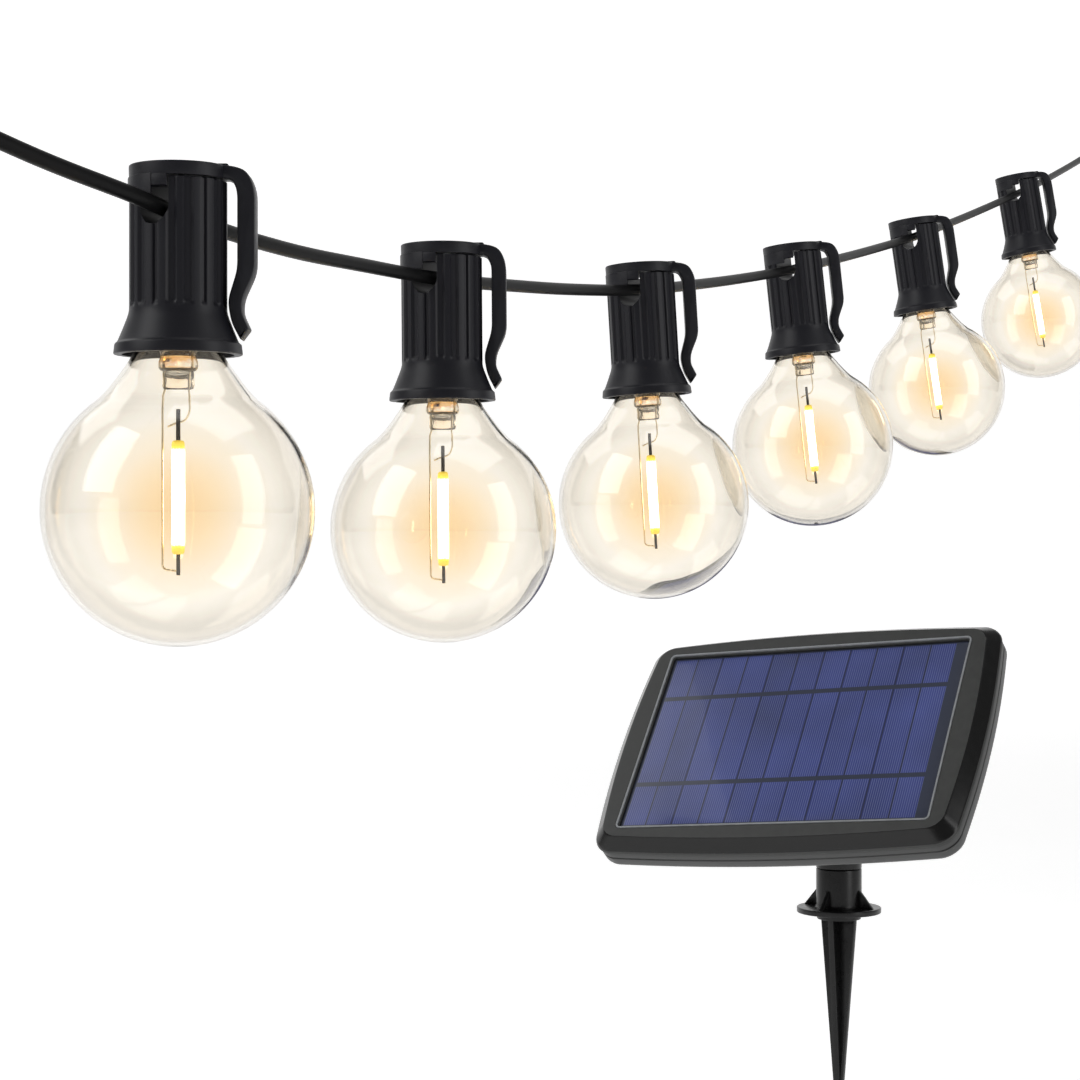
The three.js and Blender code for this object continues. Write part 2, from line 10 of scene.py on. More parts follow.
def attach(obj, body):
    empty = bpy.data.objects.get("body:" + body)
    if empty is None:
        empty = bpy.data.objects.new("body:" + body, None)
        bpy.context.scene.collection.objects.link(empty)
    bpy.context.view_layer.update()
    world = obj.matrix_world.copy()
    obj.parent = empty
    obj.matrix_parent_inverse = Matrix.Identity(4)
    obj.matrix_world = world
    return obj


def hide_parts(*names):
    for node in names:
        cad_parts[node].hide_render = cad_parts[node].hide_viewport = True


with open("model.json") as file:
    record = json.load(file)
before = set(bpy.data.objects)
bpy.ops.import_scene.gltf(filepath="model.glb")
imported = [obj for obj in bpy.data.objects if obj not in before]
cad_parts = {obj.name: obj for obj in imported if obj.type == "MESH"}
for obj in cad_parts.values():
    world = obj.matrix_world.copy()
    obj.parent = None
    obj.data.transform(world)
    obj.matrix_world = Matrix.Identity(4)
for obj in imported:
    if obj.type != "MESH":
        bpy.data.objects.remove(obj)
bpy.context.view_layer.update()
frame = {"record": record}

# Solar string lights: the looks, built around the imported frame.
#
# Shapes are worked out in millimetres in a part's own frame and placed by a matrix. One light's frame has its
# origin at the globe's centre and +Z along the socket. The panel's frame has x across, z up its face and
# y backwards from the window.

MM = 0.001
TURN = 2 * math.pi
RECORD = frame["record"]
JOINTS = {joint["name"]: joint for joint in RECORD["behaviour"]["joints"]}
ROOT = "stake_and_string"
LIGHT_NUMBERS = range(1, 7)

# ---- Camera ----

CAMERA_PLACE = (-114.7, -959.3, 142.7)
LENS_MM = 83.33


def make_camera():
    data = bpy.data.cameras.new("camera")
    data.lens = LENS_MM
    data.sensor_width = 36
    data.clip_start = 0.01
    data.clip_end = 50
    camera = bpy.data.objects.new("camera", data)
    camera.location = Vector(CAMERA_PLACE) * MM
    camera.rotation_euler = (math.pi / 2, 0, 0)
    bpy.context.collection.objects.link(camera)
    bpy.context.scene.camera = camera


make_camera()

# ---- Frames of the parts ----


def light_matrix(number):
    """The frame of one light, from the place and direction of its unscrewing joint."""
    joint = JOINTS[f"bulb_{number}_unscrew"]
    up = -Vector(joint["axis"])
    across = Vector((0, 1, 0)).cross(up).normalized()
    back = up.cross(across)
    turn = Matrix((across, back, up)).transposed().to_4x4()
    return Matrix.Translation(Vector(joint["pos_m"]) / MM) @ turn


def panel_matrices():
    """The yawed frame of the head, the tilted frame at the pivot and the panel's own frame."""
    pivot = Vector(JOINTS["panel_tilt"]["pos_m"]) / MM
    across = -Vector(JOINTS["panel_tilt"]["axis"])
    back = Vector(JOINTS["panel_turn"]["axis"])
    up = across.cross(back)
    tilted = Matrix.Translation(pivot) @ Matrix((across, back, up)).transposed().to_4x4()
    level_back = Vector((0, 0, 1)).cross(across)
    head = Matrix((across, level_back, Vector((0, 0, 1)))).transposed().to_4x4()
    face = Matrix.Translation((0, -PIVOT_TO_FACE, 0))
    turned = Matrix.Rotation(math.radians(PANEL_TURN), 4, "Y")
    return head, tilted, tilted @ face @ turned


PIVOT_TO_FACE = 48.4
PANEL_TURN = -6.3
HEAD, TILTED, PANEL = panel_matrices()

# ---- Mesh helpers ----


def fillet(points, radius, closed=False, steps=4):
    """A 2D outline with its corners rounded. A point may carry its own radius as a third value."""
    count = len(points)
    rounded = []
    for k, point in enumerate(points):
        corner = Vector(point[:2])
        size = point[2] if len(point) > 2 else radius
        if size == 0 or (not closed and k in (0, count - 1)):
            rounded.append(corner)
            continue
        before = Vector(points[k - 1][:2]) - corner
        after = Vector(points[(k + 1) % count][:2]) - corner
        if before.length < 1e-6 or after.length < 1e-6:
            rounded.append(corner)
            continue
        first = corner + before.normalized() * min(size, before.length * 0.45)
        last = corner + after.normalized() * min(size, after.length * 0.45)
        for s in range(steps + 1):
            t = s / steps
            rounded.append(first * (1 - t) ** 2 + corner * 2 * t * (1 - t) + last * t * t)
    return rounded


def pairs(points):
    return [(p.x, p.y) for p in points]


def skin(rings, closed=False, caps=True):
    """Vertices and faces through rings of equal counts; closed joins the last ring to the first."""
    count = len(rings[0])
    vertices = [Vector(p) for ring in rings for p in ring]
    faces = []
    last = len(rings) if closed else len(rings) - 1
    for r in range(last):
        low = r * count
        high = ((r + 1) % len(rings)) * count
        for k in range(count):
            n = (k + 1) % count
            faces.append((low + k, low + n, high + n, high + k))
    if caps and not closed:
        faces.append(tuple(reversed(range(count))))
        faces.append(tuple(range((len(rings) - 1) * count, len(rings) * count)))
    return vertices, faces


def revolve(profile, sides=96, shape=None):
    """A closed body about z from (radius, z) points. shape(r, z, angle) may change the radius."""
    rings = []
    for r, z in profile:
        ring = []
        for k in range(sides):
            angle = TURN * k / sides
            radius = shape(r, z, angle) if shape and r > 0 else r
            ring.append((radius * math.cos(angle), radius * math.sin(angle), z))
        rings.append(ring)
    on_axis = profile[0][0] == 0 and profile[-1][0] == 0
    return skin(rings, closed=not on_axis, caps=False)


def extrude(outline, y_front, y_back, bevel=0.0, steps=2):
    """A plate from an (x, z) outline, with its front and back edges rounded by insetting."""
    rings = []
    if bevel:
        for s in range(steps + 1):
            a = math.pi / 2 * s / steps
            rings.append((bevel * (1 - math.sin(a)), y_front + bevel * (1 - math.cos(a))))
        for s in range(steps + 1):
            a = math.pi / 2 * (1 - s / steps)
            rings.append((bevel * (1 - math.sin(a)), y_back - bevel * (1 - math.cos(a))))
    else:
        rings = [(0, y_front), (0, y_back)]
    return skin([[(x, y, z) for x, z in inset(outline, d)] for d, y in rings])


def inset(outline, distance):
    """A closed outline moved inwards along its corner normals."""
    if distance == 0:
        return [(p[0], p[1]) for p in outline]
    area = sum(a[0] * b[1] - b[0] * a[1] for a, b in zip(outline, outline[1:] + outline[:1]))
    side = 1 if area > 0 else -1
    moved = []
    for k, point in enumerate(outline):
        before = Vector(point[:2]) - Vector(outline[k - 1][:2])
        after = Vector(outline[(k + 1) % len(outline)][:2]) - Vector(point[:2])
        tangent = (before.normalized() + after.normalized()).normalized()
        normal = Vector((-tangent.y, tangent.x)) * side
        moved.append(tuple(Vector(point[:2]) + normal * distance))
    return moved


def moved(part, matrix):
    """The same vertices and faces, carried by a matrix."""
    vertices, faces = part
    return [matrix @ v for v in vertices], faces


def merged(*parts):
    vertices, faces = [], []
    for part_vertices, part_faces in parts:
        start = len(vertices)
        vertices += part_vertices
        faces += [tuple(index + start for index in face) for face in part_faces]
    return vertices, faces


def turned_to_y(part):
    """A body made about z, laid along y, with its +z end at +y."""
    return moved(part, Matrix.Rotation(-math.pi / 2, 4, "X"))


def turned_to_x(part):
    return moved(part, Matrix.Rotation(math.pi / 2, 4, "Y"))


def piece(name, part, look, body, nodes=(), matrix=None, sharp=35, looks=None):
    """A mesh object in the shared frame. Its "local" attribute keeps each point's own millimetres."""
    vertices, faces = part
    mesh = bpy.data.meshes.new(name)
    mesh.from_pydata([tuple(v) for v in vertices], [], faces)
    work = bmesh.new()
    work.from_mesh(mesh)
    bmesh.ops.remove_doubles(work, verts=work.verts, dist=1e-3)
    bmesh.ops.dissolve_degenerate(work, edges=work.edges, dist=1e-4)
    bmesh.ops.recalc_face_normals(work, faces=work.faces)
    work.to_mesh(mesh)
    work.free()
    local = mesh.attributes.new("local", "FLOAT_VECTOR", "POINT")
    local.data.foreach_set("vector", [c for v in mesh.vertices for c in v.co])
    mesh.transform(Matrix.Scale(MM, 4) @ (matrix or Matrix()))
    mesh.polygons.foreach_set("use_smooth", [True] * len(mesh.polygons))
    mesh.set_sharp_from_angle(angle=math.radians(sharp))
    mesh.materials.append(look)
    return place(bpy.data.objects.new(name, mesh), body, nodes)


def place(obj, body, nodes=()):
    if obj.name not in bpy.context.collection.objects:
        bpy.context.collection.objects.link(obj)
    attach(obj, body)
    if nodes:
        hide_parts(*nodes)
    return obj


def carve(obj, cutters):
    """Cuts closed bodies, given in the shared frame in millimetres, out of a piece."""
    for part in cutters:
        mesh = bpy.data.meshes.new("cutter")
        mesh.from_pydata([tuple(v * MM) for v in part[0]], [], part[1])
        work = bmesh.new()
        work.from_mesh(mesh)
        bmesh.ops.recalc_face_normals(work, faces=work.faces)
        work.to_mesh(mesh)
        work.free()
        cutter = bpy.data.objects.new("cutter", mesh)
        bpy.context.collection.objects.link(cutter)
        modifier = obj.modifiers.new("cut", "BOOLEAN")
        modifier.operation = "DIFFERENCE"
        modifier.solver = "EXACT"
        modifier.object = cutter
        bpy.context.view_layer.update()
        result = obj.evaluated_get(bpy.context.evaluated_depsgraph_get())
        fresh = bpy.data.meshes.new_from_object(result)
        obj.modifiers.clear()
        obj.data = fresh
        bpy.data.objects.remove(cutter)
    obj.data.set_sharp_from_angle(angle=math.radians(35))
    return obj


# ---- Material helpers ----


class Look:
    """A material with a Principled shader, and short ways to add nodes."""

    def __init__(self, name, **values):
        self.material = bpy.data.materials.new(name)
        self.material.use_nodes = True
        self.nodes = self.material.node_tree.nodes
        self.links = self.material.node_tree.links
        self.shader = self.nodes["Principled BSDF"]
        for key, value in values.items():
            self.shader.inputs[key.replace("_", " ")].default_value = value
        self.place = self.nodes.new("ShaderNodeAttribute")
        self.place.attribute_name = "local"

    def node(self, kind, **values):
        made = self.nodes.new(kind)
        for key, value in values.items():
            setattr(made, key, value)
        return made

    def link(self, source, target):
        self.links.new(source, target)

    def noise(self, scale, detail=3.0, roughness=0.5, stretch=None):
        texture = self.node("ShaderNodeTexNoise")
        texture.inputs["Scale"].default_value = scale
        texture.inputs["Detail"].default_value = detail
        texture.inputs["Roughness"].default_value = roughness
        source = self.place.outputs["Vector"]
        if stretch:
            mapping = self.node("ShaderNodeMapping")
            mapping.inputs["Scale"].default_value = stretch
            self.link(source, mapping.inputs["Vector"])
            source = mapping.outputs["Vector"]
        self.link(source, texture.inputs["Vector"])
        return texture.outputs["Fac"]

    def ramp(self, source, stops):
        """stops are (position, value or colour) pairs."""
        ramp = self.node("ShaderNodeValToRGB")
        elements = ramp.color_ramp.elements
        while len(elements) < len(stops):
            elements.new(0.5)
        for element, (position, value) in zip(elements, stops):
            element.position = position
            element.color = value if hasattr(value, "__len__") else (value, value, value, 1)
        self.link(source, ramp.inputs["Fac"])
        return ramp.outputs["Color"]

    def bump(self, source, strength, distance=0.1):
        bump = self.node("ShaderNodeBump")
        bump.inputs["Strength"].default_value = strength
        bump.inputs["Distance"].default_value = distance * MM
        self.link(source, bump.inputs["Height"])
        self.link(bump.outputs["Normal"], self.shader.inputs["Normal"])

    def math(self, operation, first, second=None, third=None):
        made = self.node("ShaderNodeMath", operation=operation)
        for k, value in enumerate((first, second, third)):
            if value is None:
                continue
            if isinstance(value, (int, float)):
                made.inputs[k].default_value = value
            else:
                self.link(value, made.inputs[k])
        return made.outputs[0]

    def axes(self):
        split = self.node("ShaderNodeSeparateXYZ")
        self.link(self.place.outputs["Vector"], split.inputs[0])
        return split.outputs

    def mix(self, share, first, second):
        made = self.node("ShaderNodeMix", data_type="RGBA")
        if isinstance(share, (int, float)):
            made.inputs["Factor"].default_value = share
        else:
            self.link(share, made.inputs["Factor"])
        for socket, value in ((made.inputs[6], first), (made.inputs[7], second)):
            if hasattr(value, "__len__"):
                socket.default_value = value
            else:
                self.link(value, socket)
        return made.outputs[2]


def moulded(name, colour, rough, grain=7.0, depth=0.35, spread=0.08, shine=0.5):
    """Moulded plastic: fine spark-eroded grain, slow changes of gloss and a little colour drift."""
    look = Look(name, Specular_IOR_Level=shine)
    slow = look.noise(0.35, 2.0)
    fine = look.noise(grain, 4.0, 0.6)
    light = tuple(c * 1.12 for c in colour) + (1,)
    dark = tuple(c * 0.9 for c in colour) + (1,)
    look.link(look.ramp(slow, [(0.3, dark), (0.7, light)]), look.shader.inputs["Base Color"])
    blend = look.math("MULTIPLY_ADD", fine, 0.5, look.math("MULTIPLY", slow, 0.5))
    gloss = look.ramp(blend, [(0.25, rough - spread), (0.75, rough + spread)])
    look.link(gloss, look.shader.inputs["Roughness"])
    look.bump(fine, depth, 0.06)
    return look.material


def metal(name, colour, rough, stretch):
    """Drawn or plated metal with fine lines along its length."""
    look = Look(name, Metallic=1.0)
    lines = look.noise(3.0, 4.0, 0.6, stretch)
    light = tuple(min(c * 1.12, 1) for c in colour) + (1,)
    dark = tuple(c * 0.8 for c in colour) + (1,)
    look.link(look.ramp(lines, [(0.3, dark), (0.7, light)]), look.shader.inputs["Base Color"])
    gloss = look.ramp(lines, [(0.3, rough - 0.07), (0.7, rough + 0.1)])
    look.link(gloss, look.shader.inputs["Roughness"])
    look.bump(lines, 0.25, 0.03)
    return look.material


def globe_glass():
    """Clear blown glass with painted light: a painted warm glow where the glass faces the viewer, and painted
    grey-beige shade that darkens it towards its rim.
    """
    look = Look("globe_glass", Roughness=0.0, IOR=1.4)
    facing = look.node("ShaderNodeLayerWeight")
    facing.inputs["Blend"].default_value = 0.5
    # Painted light: this colour paints a warm glow where the surface faces the viewer and a darkening
    # grey-beige shade towards the rim.
    painted_glow_and_rim_shade = look.ramp(
        facing.outputs["Facing"],
        [
            (0.0, (1.0, 0.85, 0.63, 1)),
            (0.05, (1.0, 0.90, 0.75, 1)),
            (0.13, (0.99, 0.95, 0.87, 1)),
            (0.3, (0.965, 0.94, 0.895, 1)),
            (0.48, (0.865, 0.835, 0.775, 1)),
            (0.72, (0.80, 0.755, 0.68, 1)),
            (1.0, (0.42, 0.37, 0.30, 1)),
        ],
    )
    look.link(painted_glow_and_rim_shade, look.shader.inputs["Base Color"])
    # Painted shade: transmission falls away at the rim so that the darker painted rim colour shows as an
    # outline.
    clear = look.ramp(facing.outputs["Facing"], [(0.0, 1.0), (0.74, 0.99), (0.9, 0.72), (1.0, 0.2)])
    look.link(clear, look.shader.inputs["Transmission Weight"])
    waves = look.noise(0.09, 2.0)
    look.bump(waves, 0.08, 0.3)
    return look.material


def stem_glass():
    """Pressed stem glass with streaks drawn along its length and a copper-stained pinch."""
    look = Look("stem_glass", Roughness=0.03, IOR=1.5, Transmission_Weight=1.0)
    height = look.axes()[2]
    wobble = look.math("MULTIPLY_ADD", look.noise(0.9, 3.0), 2.2, look.math("SUBTRACT", height, 1.1))
    band = look.ramp(
        look.math("MULTIPLY", look.math("SUBTRACT", wobble, 15.0), 0.1),
        [
            (0.0, (0.99, 0.97, 0.93, 1)),
            (0.6, (0.99, 0.96, 0.90, 1)),
            (0.68, (0.85, 0.42, 0.12, 1)),
            (0.76, (0.95, 0.70, 0.40, 1)),
            (0.84, (0.99, 0.95, 0.88, 1)),
        ],
    )
    look.link(band, look.shader.inputs["Base Color"])
    look.bump(look.noise(2.2, 3.0, 0.5, (1, 1, 0.12)), 0.5, 0.15)
    return look.material


def filament_look():
    """The lit phosphor rod: white-hot along its length, yellow at both ends."""
    look = Look("filament", Roughness=0.5, Base_Color=(1.0, 0.8, 0.25, 1))
    height = look.axes()[2]
    share = look.math("DIVIDE", look.math("ABSOLUTE", look.math("SUBTRACT", height, FILAMENT_MIDDLE)), 8.3)
    grain = look.math("MULTIPLY_ADD", look.noise(3.0), 0.06, look.math("SUBTRACT", share, 0.03))
    colour = look.ramp(
        grain,
        [
            (0.0, (1.0, 0.93, 0.78, 1)),
            (0.8, (1.0, 0.92, 0.7, 1)),
            (0.87, (1.0, 0.78, 0.05, 1)),
            (1.0, (0.8, 0.6, 0.0, 1)),
        ],
    )
    power = look.ramp(grain, [(0.0, 1.0), (0.8, 1.0), (0.88, 0.09), (1.0, 0.05)])
    look.link(colour, look.shader.inputs["Emission Color"])
    look.link(look.math("MULTIPLY", power, 9.0), look.shader.inputs["Emission Strength"])
    return look.material


def solar_cells():
    """Laminated cells: rows and columns with slate gaps, two bus bands and fine silver fingers."""
    look = Look(
        "solar_cells", Roughness=0.28, IOR=1.5, Coat_Weight=0.2, Coat_Roughness=0.05, Specular_IOR_Level=0.3
    )
    x, _, z = look.axes()
    half_w, half_h = WINDOW[0] / 2, WINDOW[1] / 2
    across = look.math("DIVIDE", look.math("ADD", x, half_w), WINDOW[0])
    down = look.math("DIVIDE", look.math("SUBTRACT", half_h, z), WINDOW[1])
    column = look.math("MULTIPLY", across, CELL_COLUMNS)
    within = look.math("FRACT", column)

    def stripe(value, centre, half, soft):
        """1 inside a band about centre, falling to 0 over soft."""
        distance = look.math("ABSOLUTE", look.math("SUBTRACT", value, centre))
        ramp = look.node("ShaderNodeMapRange", interpolation_type="SMOOTHSTEP")
        ramp.inputs["From Min"].default_value = half + soft
        ramp.inputs["From Max"].default_value = half
        look.link(distance, ramp.inputs["Value"])
        return ramp.outputs["Result"]

    shade = look.noise(0.035, 2.0)
    cell_tone = look.node("ShaderNodeTexWhiteNoise", noise_dimensions="1D")
    look.link(look.math("FLOOR", column), cell_tone.inputs["W"])
    toned = look.math("MULTIPLY_ADD", cell_tone.outputs["Value"], 0.22, look.math("MULTIPLY", shade, 0.8))
    blue = look.ramp(
        toned,
        [
            (0.25, (0.026, 0.034, 0.115, 1)),
            (0.5, (0.034, 0.046, 0.180, 1)),
            (0.8, (0.048, 0.066, 0.255, 1)),
        ],
    )
    fingers = look.math("FRACT", look.math("MULTIPLY", x, 1 / FINGER_PITCH))
    finger = stripe(fingers, 0.5, 0.10, 0.14)
    lined = look.mix(look.math("MULTIPLY", finger, 0.4), blue, (0.22, 0.25, 0.40, 1))
    gap = look.math("MAXIMUM", stripe(within, 0.0, 0.02, 0.02), stripe(within, 1.0, 0.02, 0.02))
    with_gaps = look.mix(look.math("MULTIPLY", gap, 0.9), lined, (0.018, 0.02, 0.04, 1))
    bus = look.math(
        "MAXIMUM",
        stripe(down, 0.25, 0.011, 0.003),
        stripe(down, 0.755, 0.011, 0.003),
    )
    edge = look.math(
        "MAXIMUM",
        look.math("GREATER_THAN", across, 0.958),
        look.math("MAXIMUM", look.math("LESS_THAN", across, 0.012), stripe(down, 0.0, 0.012, 0.004)),
    )
    edge = look.math("MAXIMUM", edge, stripe(down, 1.0, 0.012, 0.004))
    final = look.mix(look.math("MAXIMUM", bus, edge), with_gaps, SLATE)
    look.link(final, look.shader.inputs["Base Color"])
    look.bump(look.noise(1.6, 3.0), 0.12, 0.04)
    return look.material


FILAMENT_MIDDLE = 1.95
WINDOW = (123.0, 82.4)
CELL_COLUMNS = 11.4
FINGER_PITCH = 0.86
SLATE = (0.032, 0.038, 0.062, 1)

LOOKS = {
    "socket": moulded("socket_plastic", (0.0070, 0.0070, 0.0100), 0.42, 6.0, 0.5, shine=0.26),
    "cable": moulded("cable_pvc", (0.003, 0.003, 0.0032), 0.4, 5.0, 0.25, shine=0.1),
    "glass": globe_glass(),
    "stem": stem_glass(),
    "filament": filament_look(),
    "lead": moulded("filament_lead", (0.045, 0.042, 0.04), 0.45),
    "wire": metal("support_wire", (0.88, 0.78, 0.60), 0.3, (1, 1, 0.1)),
    "plated": metal("plated_shell", (0.66, 0.6, 0.5), 0.3, (0.2, 0.2, 2)),
    "solder": metal("solder", (0.5, 0.5, 0.5), 0.42, (1, 1, 1)),
    "insulator": moulded("base_insulator", (0.012, 0.012, 0.012), 0.25),
    "steel": metal("hook_steel", (0.5, 0.51, 0.52), 0.3, (1, 1, 0.2)),
    "frame": moulded("frame_plastic", (0.030, 0.031, 0.030), 0.48, 5.0, 0.3, shine=0.4),
    "trim": moulded("window_trim", (0.22, 0.23, 0.24), 0.35, 5.0, 0.2),
    "chamfer": moulded("frame_chamfer", (0.004, 0.004, 0.004), 0.2, 2.0, 0.08, 0.04, 0.35),
    "housing": moulded("housing_plastic", (0.028, 0.029, 0.029), 0.42, 5.0, 0.35),
    "stake": moulded("stake_plastic", (0.004, 0.004, 0.0042), 0.3, 3.0, 0.2, shine=0.3),
    "rubber": moulded("button_rubber", (0.07, 0.073, 0.078), 0.65, 8.0, 0.4),
    "battery": moulded("battery_wrap", (0.03, 0.18, 0.08), 0.3),
    "board": moulded("circuit_board", (0.015, 0.11, 0.035), 0.35),
    "brass": metal("screw_zinc", (0.55, 0.56, 0.57), 0.3, (1, 1, 1)),
}
LOOKS["cells"] = solar_cells()

# ---- The cable, its ends and its hooks ----

CABLE_R = 1.18
# The cable's route in millimetres: end cap, light 1 at the fifth point, then every third point, plug.
ROUTE = [
    (-192.5, -631.3, 198.3),
    (-187.1, -624.3, 196.2),
    (-181.7, -617.3, 194.3),
    (-172.5, -604.3, 191.7),
    (-167.7, -593.0, 190.4),
    (-155.8, -567.6, 188.6),
    (-144.0, -542.2, 188.5),
    (-132.1, -516.8, 188.9),
    (-119.2, -488.9, 190.5),
    (-106.4, -460.9, 192.6),
    (-93.5, -433.0, 195.4),
    (-79.4, -400.1, 199.9),
    (-65.3, -367.2, 204.9),
    (-51.2, -334.3, 210.4),
    (-35.4, -295.7, 217.4),
    (-19.5, -257.2, 224.8),
    (-3.7, -218.6, 232.6),
    (14.3, -178.1, 242.1),
    (32.4, -137.7, 252.1),
    (50.4, -97.2, 262.4),
    (64.0, -67.0, 270.4),
    (77.5, -37.0, 278.8),
    (91.0, -7.0, 287.5),
    (100.8, 14.8, 294.2),
]


def make_cable():
    curve = bpy.data.curves.new("string_lead", "CURVE")
    curve.dimensions = "3D"
    curve.bevel_depth = CABLE_R * MM
    curve.bevel_resolution = 8
    curve.resolution_u = 10
    curve.use_fill_caps = True
    spline = curve.splines.new("BEZIER")
    spline.bezier_points.add(len(ROUTE) - 1)
    for point, place_mm in zip(spline.bezier_points, ROUTE):
        point.co = Vector(place_mm) * MM
        point.handle_left_type = "AUTO"
        point.handle_right_type = "AUTO"
    curve.materials.append(LOOKS["cable"])
    lead = place(bpy.data.objects.new("string_lead", curve), ROOT, ["string_cable"])
    bpy.context.view_layer.update()


def cable_end(end, inner):
    """A frame whose +Z leads off the cable's end, with its x axis level."""
    outward = (Vector(end) - Vector(inner)).normalized()
    side = Vector((0, 0, 1)).cross(outward).normalized()
    up = outward.cross(side)
    return Matrix.Translation(end) @ Matrix((side, up, outward)).transposed().to_4x4()


END_CAP_LENGTH = 9.0
PLUG_LENGTH = 17.0
EYE_R = (3.6, 2.1)


def eye(centre_z):
    """A flat ring in the plane x = 0, with rounded edges and its middle on the z axis."""
    outer, inner = EYE_R
    section = fillet([(outer, -1), (outer, 1), (inner, 1), (inner, -1)], 0.45, closed=True)
    ring = turned_to_x(revolve(pairs(section), 48))
    return moved(ring, Matrix.Translation((0, 0, centre_z)))


def end_cap():
    profile = fillet(
        [(0, 0.3), (2.1, 0.3), (2.6, 1.4), (2.6, 7.6), (2.3, 9), (0, 9)],
        0.5,
    )
    return merged(revolve(pairs(profile), 48), eye(END_CAP_LENGTH + EYE_R[0] - 1))


def plug_body():
    """A waterproof plug: a tapered strain relief, a knurled nut and a capped end with an eye."""
    points = [
        (0, 0.3), (1.9, 0.3), (2.5, 2.6), (3.1, 4.4), (3.95, 5), (3.95, 13), (3.4, 13.8), (3.4, 17), (0, 17),
    ]
    profile = pairs(fillet(points, 0.35))

    def knurl(radius, z, angle):
        if not 5.1 < z < 12.9:
            return radius
        return radius - 0.16 * (0.5 - 0.5 * math.cos(24 * angle))

    stretched = []
    for (r0, z0), (r1, z1) in zip(profile, profile[1:]):
        steps = max(1, int(abs(z1 - z0) / 0.6))
        stretched += [(r0 + (r1 - r0) * s / steps, z0 + (z1 - z0) * s / steps) for s in range(steps)]
    stretched.append(profile[-1])
    return merged(revolve(stretched, 192, knurl), eye(PLUG_LENGTH + EYE_R[0] - 1))


HOOK_BEND_R = 3.2
HOOK_SEAT = 0.7
HOOK_SHANK = 14.0


def hook(eye_centre_z):
    """A wire screw hook, swept as rings, with a thread that tapers to a point."""
    centre_z = eye_centre_z + HOOK_SEAT + HOOK_BEND_R
    shank = centre_z + HOOK_BEND_R + 1.2
    path = []
    for degrees in range(112, -136, -6):
        a = math.radians(degrees)
        path.append(Vector((HOOK_BEND_R * math.sin(a), 0, centre_z - HOOK_BEND_R * math.cos(a))))
    bend = interpolate_bezier(
        path[-1],
        path[-1] + (path[-1] - path[-2]).normalized() * 1.3,
        Vector((0, 0, shank - 0.9)),
        Vector((0, 0, shank + 0.6)),
        8,
    )
    path += bend[1:]
    thread_steps = 150
    length = shank + HOOK_SHANK - path[-1].z
    start_z = path[-1].z
    path += [Vector((0, 0, start_z + length * (k + 1) / thread_steps)) for k in range(thread_steps)]
    rings = []
    for k, point in enumerate(path):
        ahead = path[min(k + 1, len(path) - 1)]
        behind = path[max(k - 1, 0)]
        tangent = (ahead - behind).normalized()
        side = Vector((0, 1, 0))
        up = tangent.cross(side)
        rise = point.z - start_z
        ring = []
        for s in range(20):
            a = TURN * s / 20
            radius = 0.85
            if k == 0:
                radius = 0.5
            if rise > 2.5:
                wave = 0.5 + 0.5 * math.cos(TURN * (rise / 0.9) - a)
                radius = 0.9 - 0.24 * wave
                radius *= min(1.0, max(0.04, (length - rise) / 4 + 0.04))
            ring.append(point + (side * math.cos(a) + up * math.sin(a)) * radius)
        rings.append(ring)
    return skin(rings)


START = cable_end(ROUTE[0], ROUTE[1])
FINISH = cable_end(ROUTE[-1], ROUTE[-2])
cap_piece = piece("sealed_end", end_cap(), LOOKS["cable"], ROOT, ["cable_end_cap"], START)
plug_piece = piece("plug_end", plug_body(), LOOKS["cable"], ROOT, ["string_plug"], FINISH)
make_cable()
eye_middle = EYE_R[0] - 1
start_hook = hook(END_CAP_LENGTH + eye_middle)
finish_hook = hook(PLUG_LENGTH + eye_middle)
piece("hook_at_end_cap", start_hook, LOOKS["steel"], ROOT, ["end_cap_hook"], START)
piece("hook_at_plug", finish_hook, LOOKS["steel"], ROOT, ["plug_hook"], FINISH)

# ---- One light ----

BODY_R = 7.15
BODY_TOP = 48.1
CAP_TOP = 50.4
GROOVES = 18
GROOVE_Z = 29.9
HOLE_HALF_WIDTH = 2.4
HOLE_BOTTOM_Z = 43.7


def smoothstep(low, high, value):
    t = min(1.0, max(0.0, (value - low) / (high - low)))
    return t * t * (3 - 2 * t)


def ribbed(radius, z, angle):
    """The socket's upright flutes, which run out above the skirt."""
    if z < 29.3 or radius < BODY_R - 0.05:
        return radius
    pitch = TURN / GROOVES
    phase = (angle / pitch) % 1.0
    wide = 0.30 if int(angle / pitch) % 3 else 0.19
    distance = abs(phase - 0.5)
    groove = 1 - smoothstep(wide - 0.11, wide, distance)
    ends = smoothstep(GROOVE_Z - 0.5, GROOVE_Z + 0.6, z)
    return radius - 0.42 * groove * ends


def socket_part():
    outside = fillet(
        [
            (8.2, 22.8, 0.15), (9.44, 22.8, 0.25), (9.26, 24.35, 0.2), (8.86, 24.65, 0.2),
            (8.2, 26.2, 0.8), (7.3, 28.5, 0.9), (7.15, 29.3, 0.3),
        ],
        0.2,
    )
    levels = [29.5 + 0.15 * k for k in range(8)] + [31 + 1.4 * k for k in range(12)] + [47.2, 47.8, 48.0]
    upright = [(BODY_R, z) for z in levels] + [(7.0, BODY_TOP), (0, BODY_TOP)]
    inside = [(0, 39.0), (6.35, 39.0)]
    thread = []
    for k in range(48):
        z = 38.8 - k * 0.27
        thread.append((6.35 + 0.14 * math.cos(TURN * z / 2.54), z))
    mouth = [(6.4, 25.8), (8.1, 25.1), (8.2, 23.1)]
    profile = inside + thread + mouth + pairs(outside) + upright
    return revolve(profile, 216, ribbed)


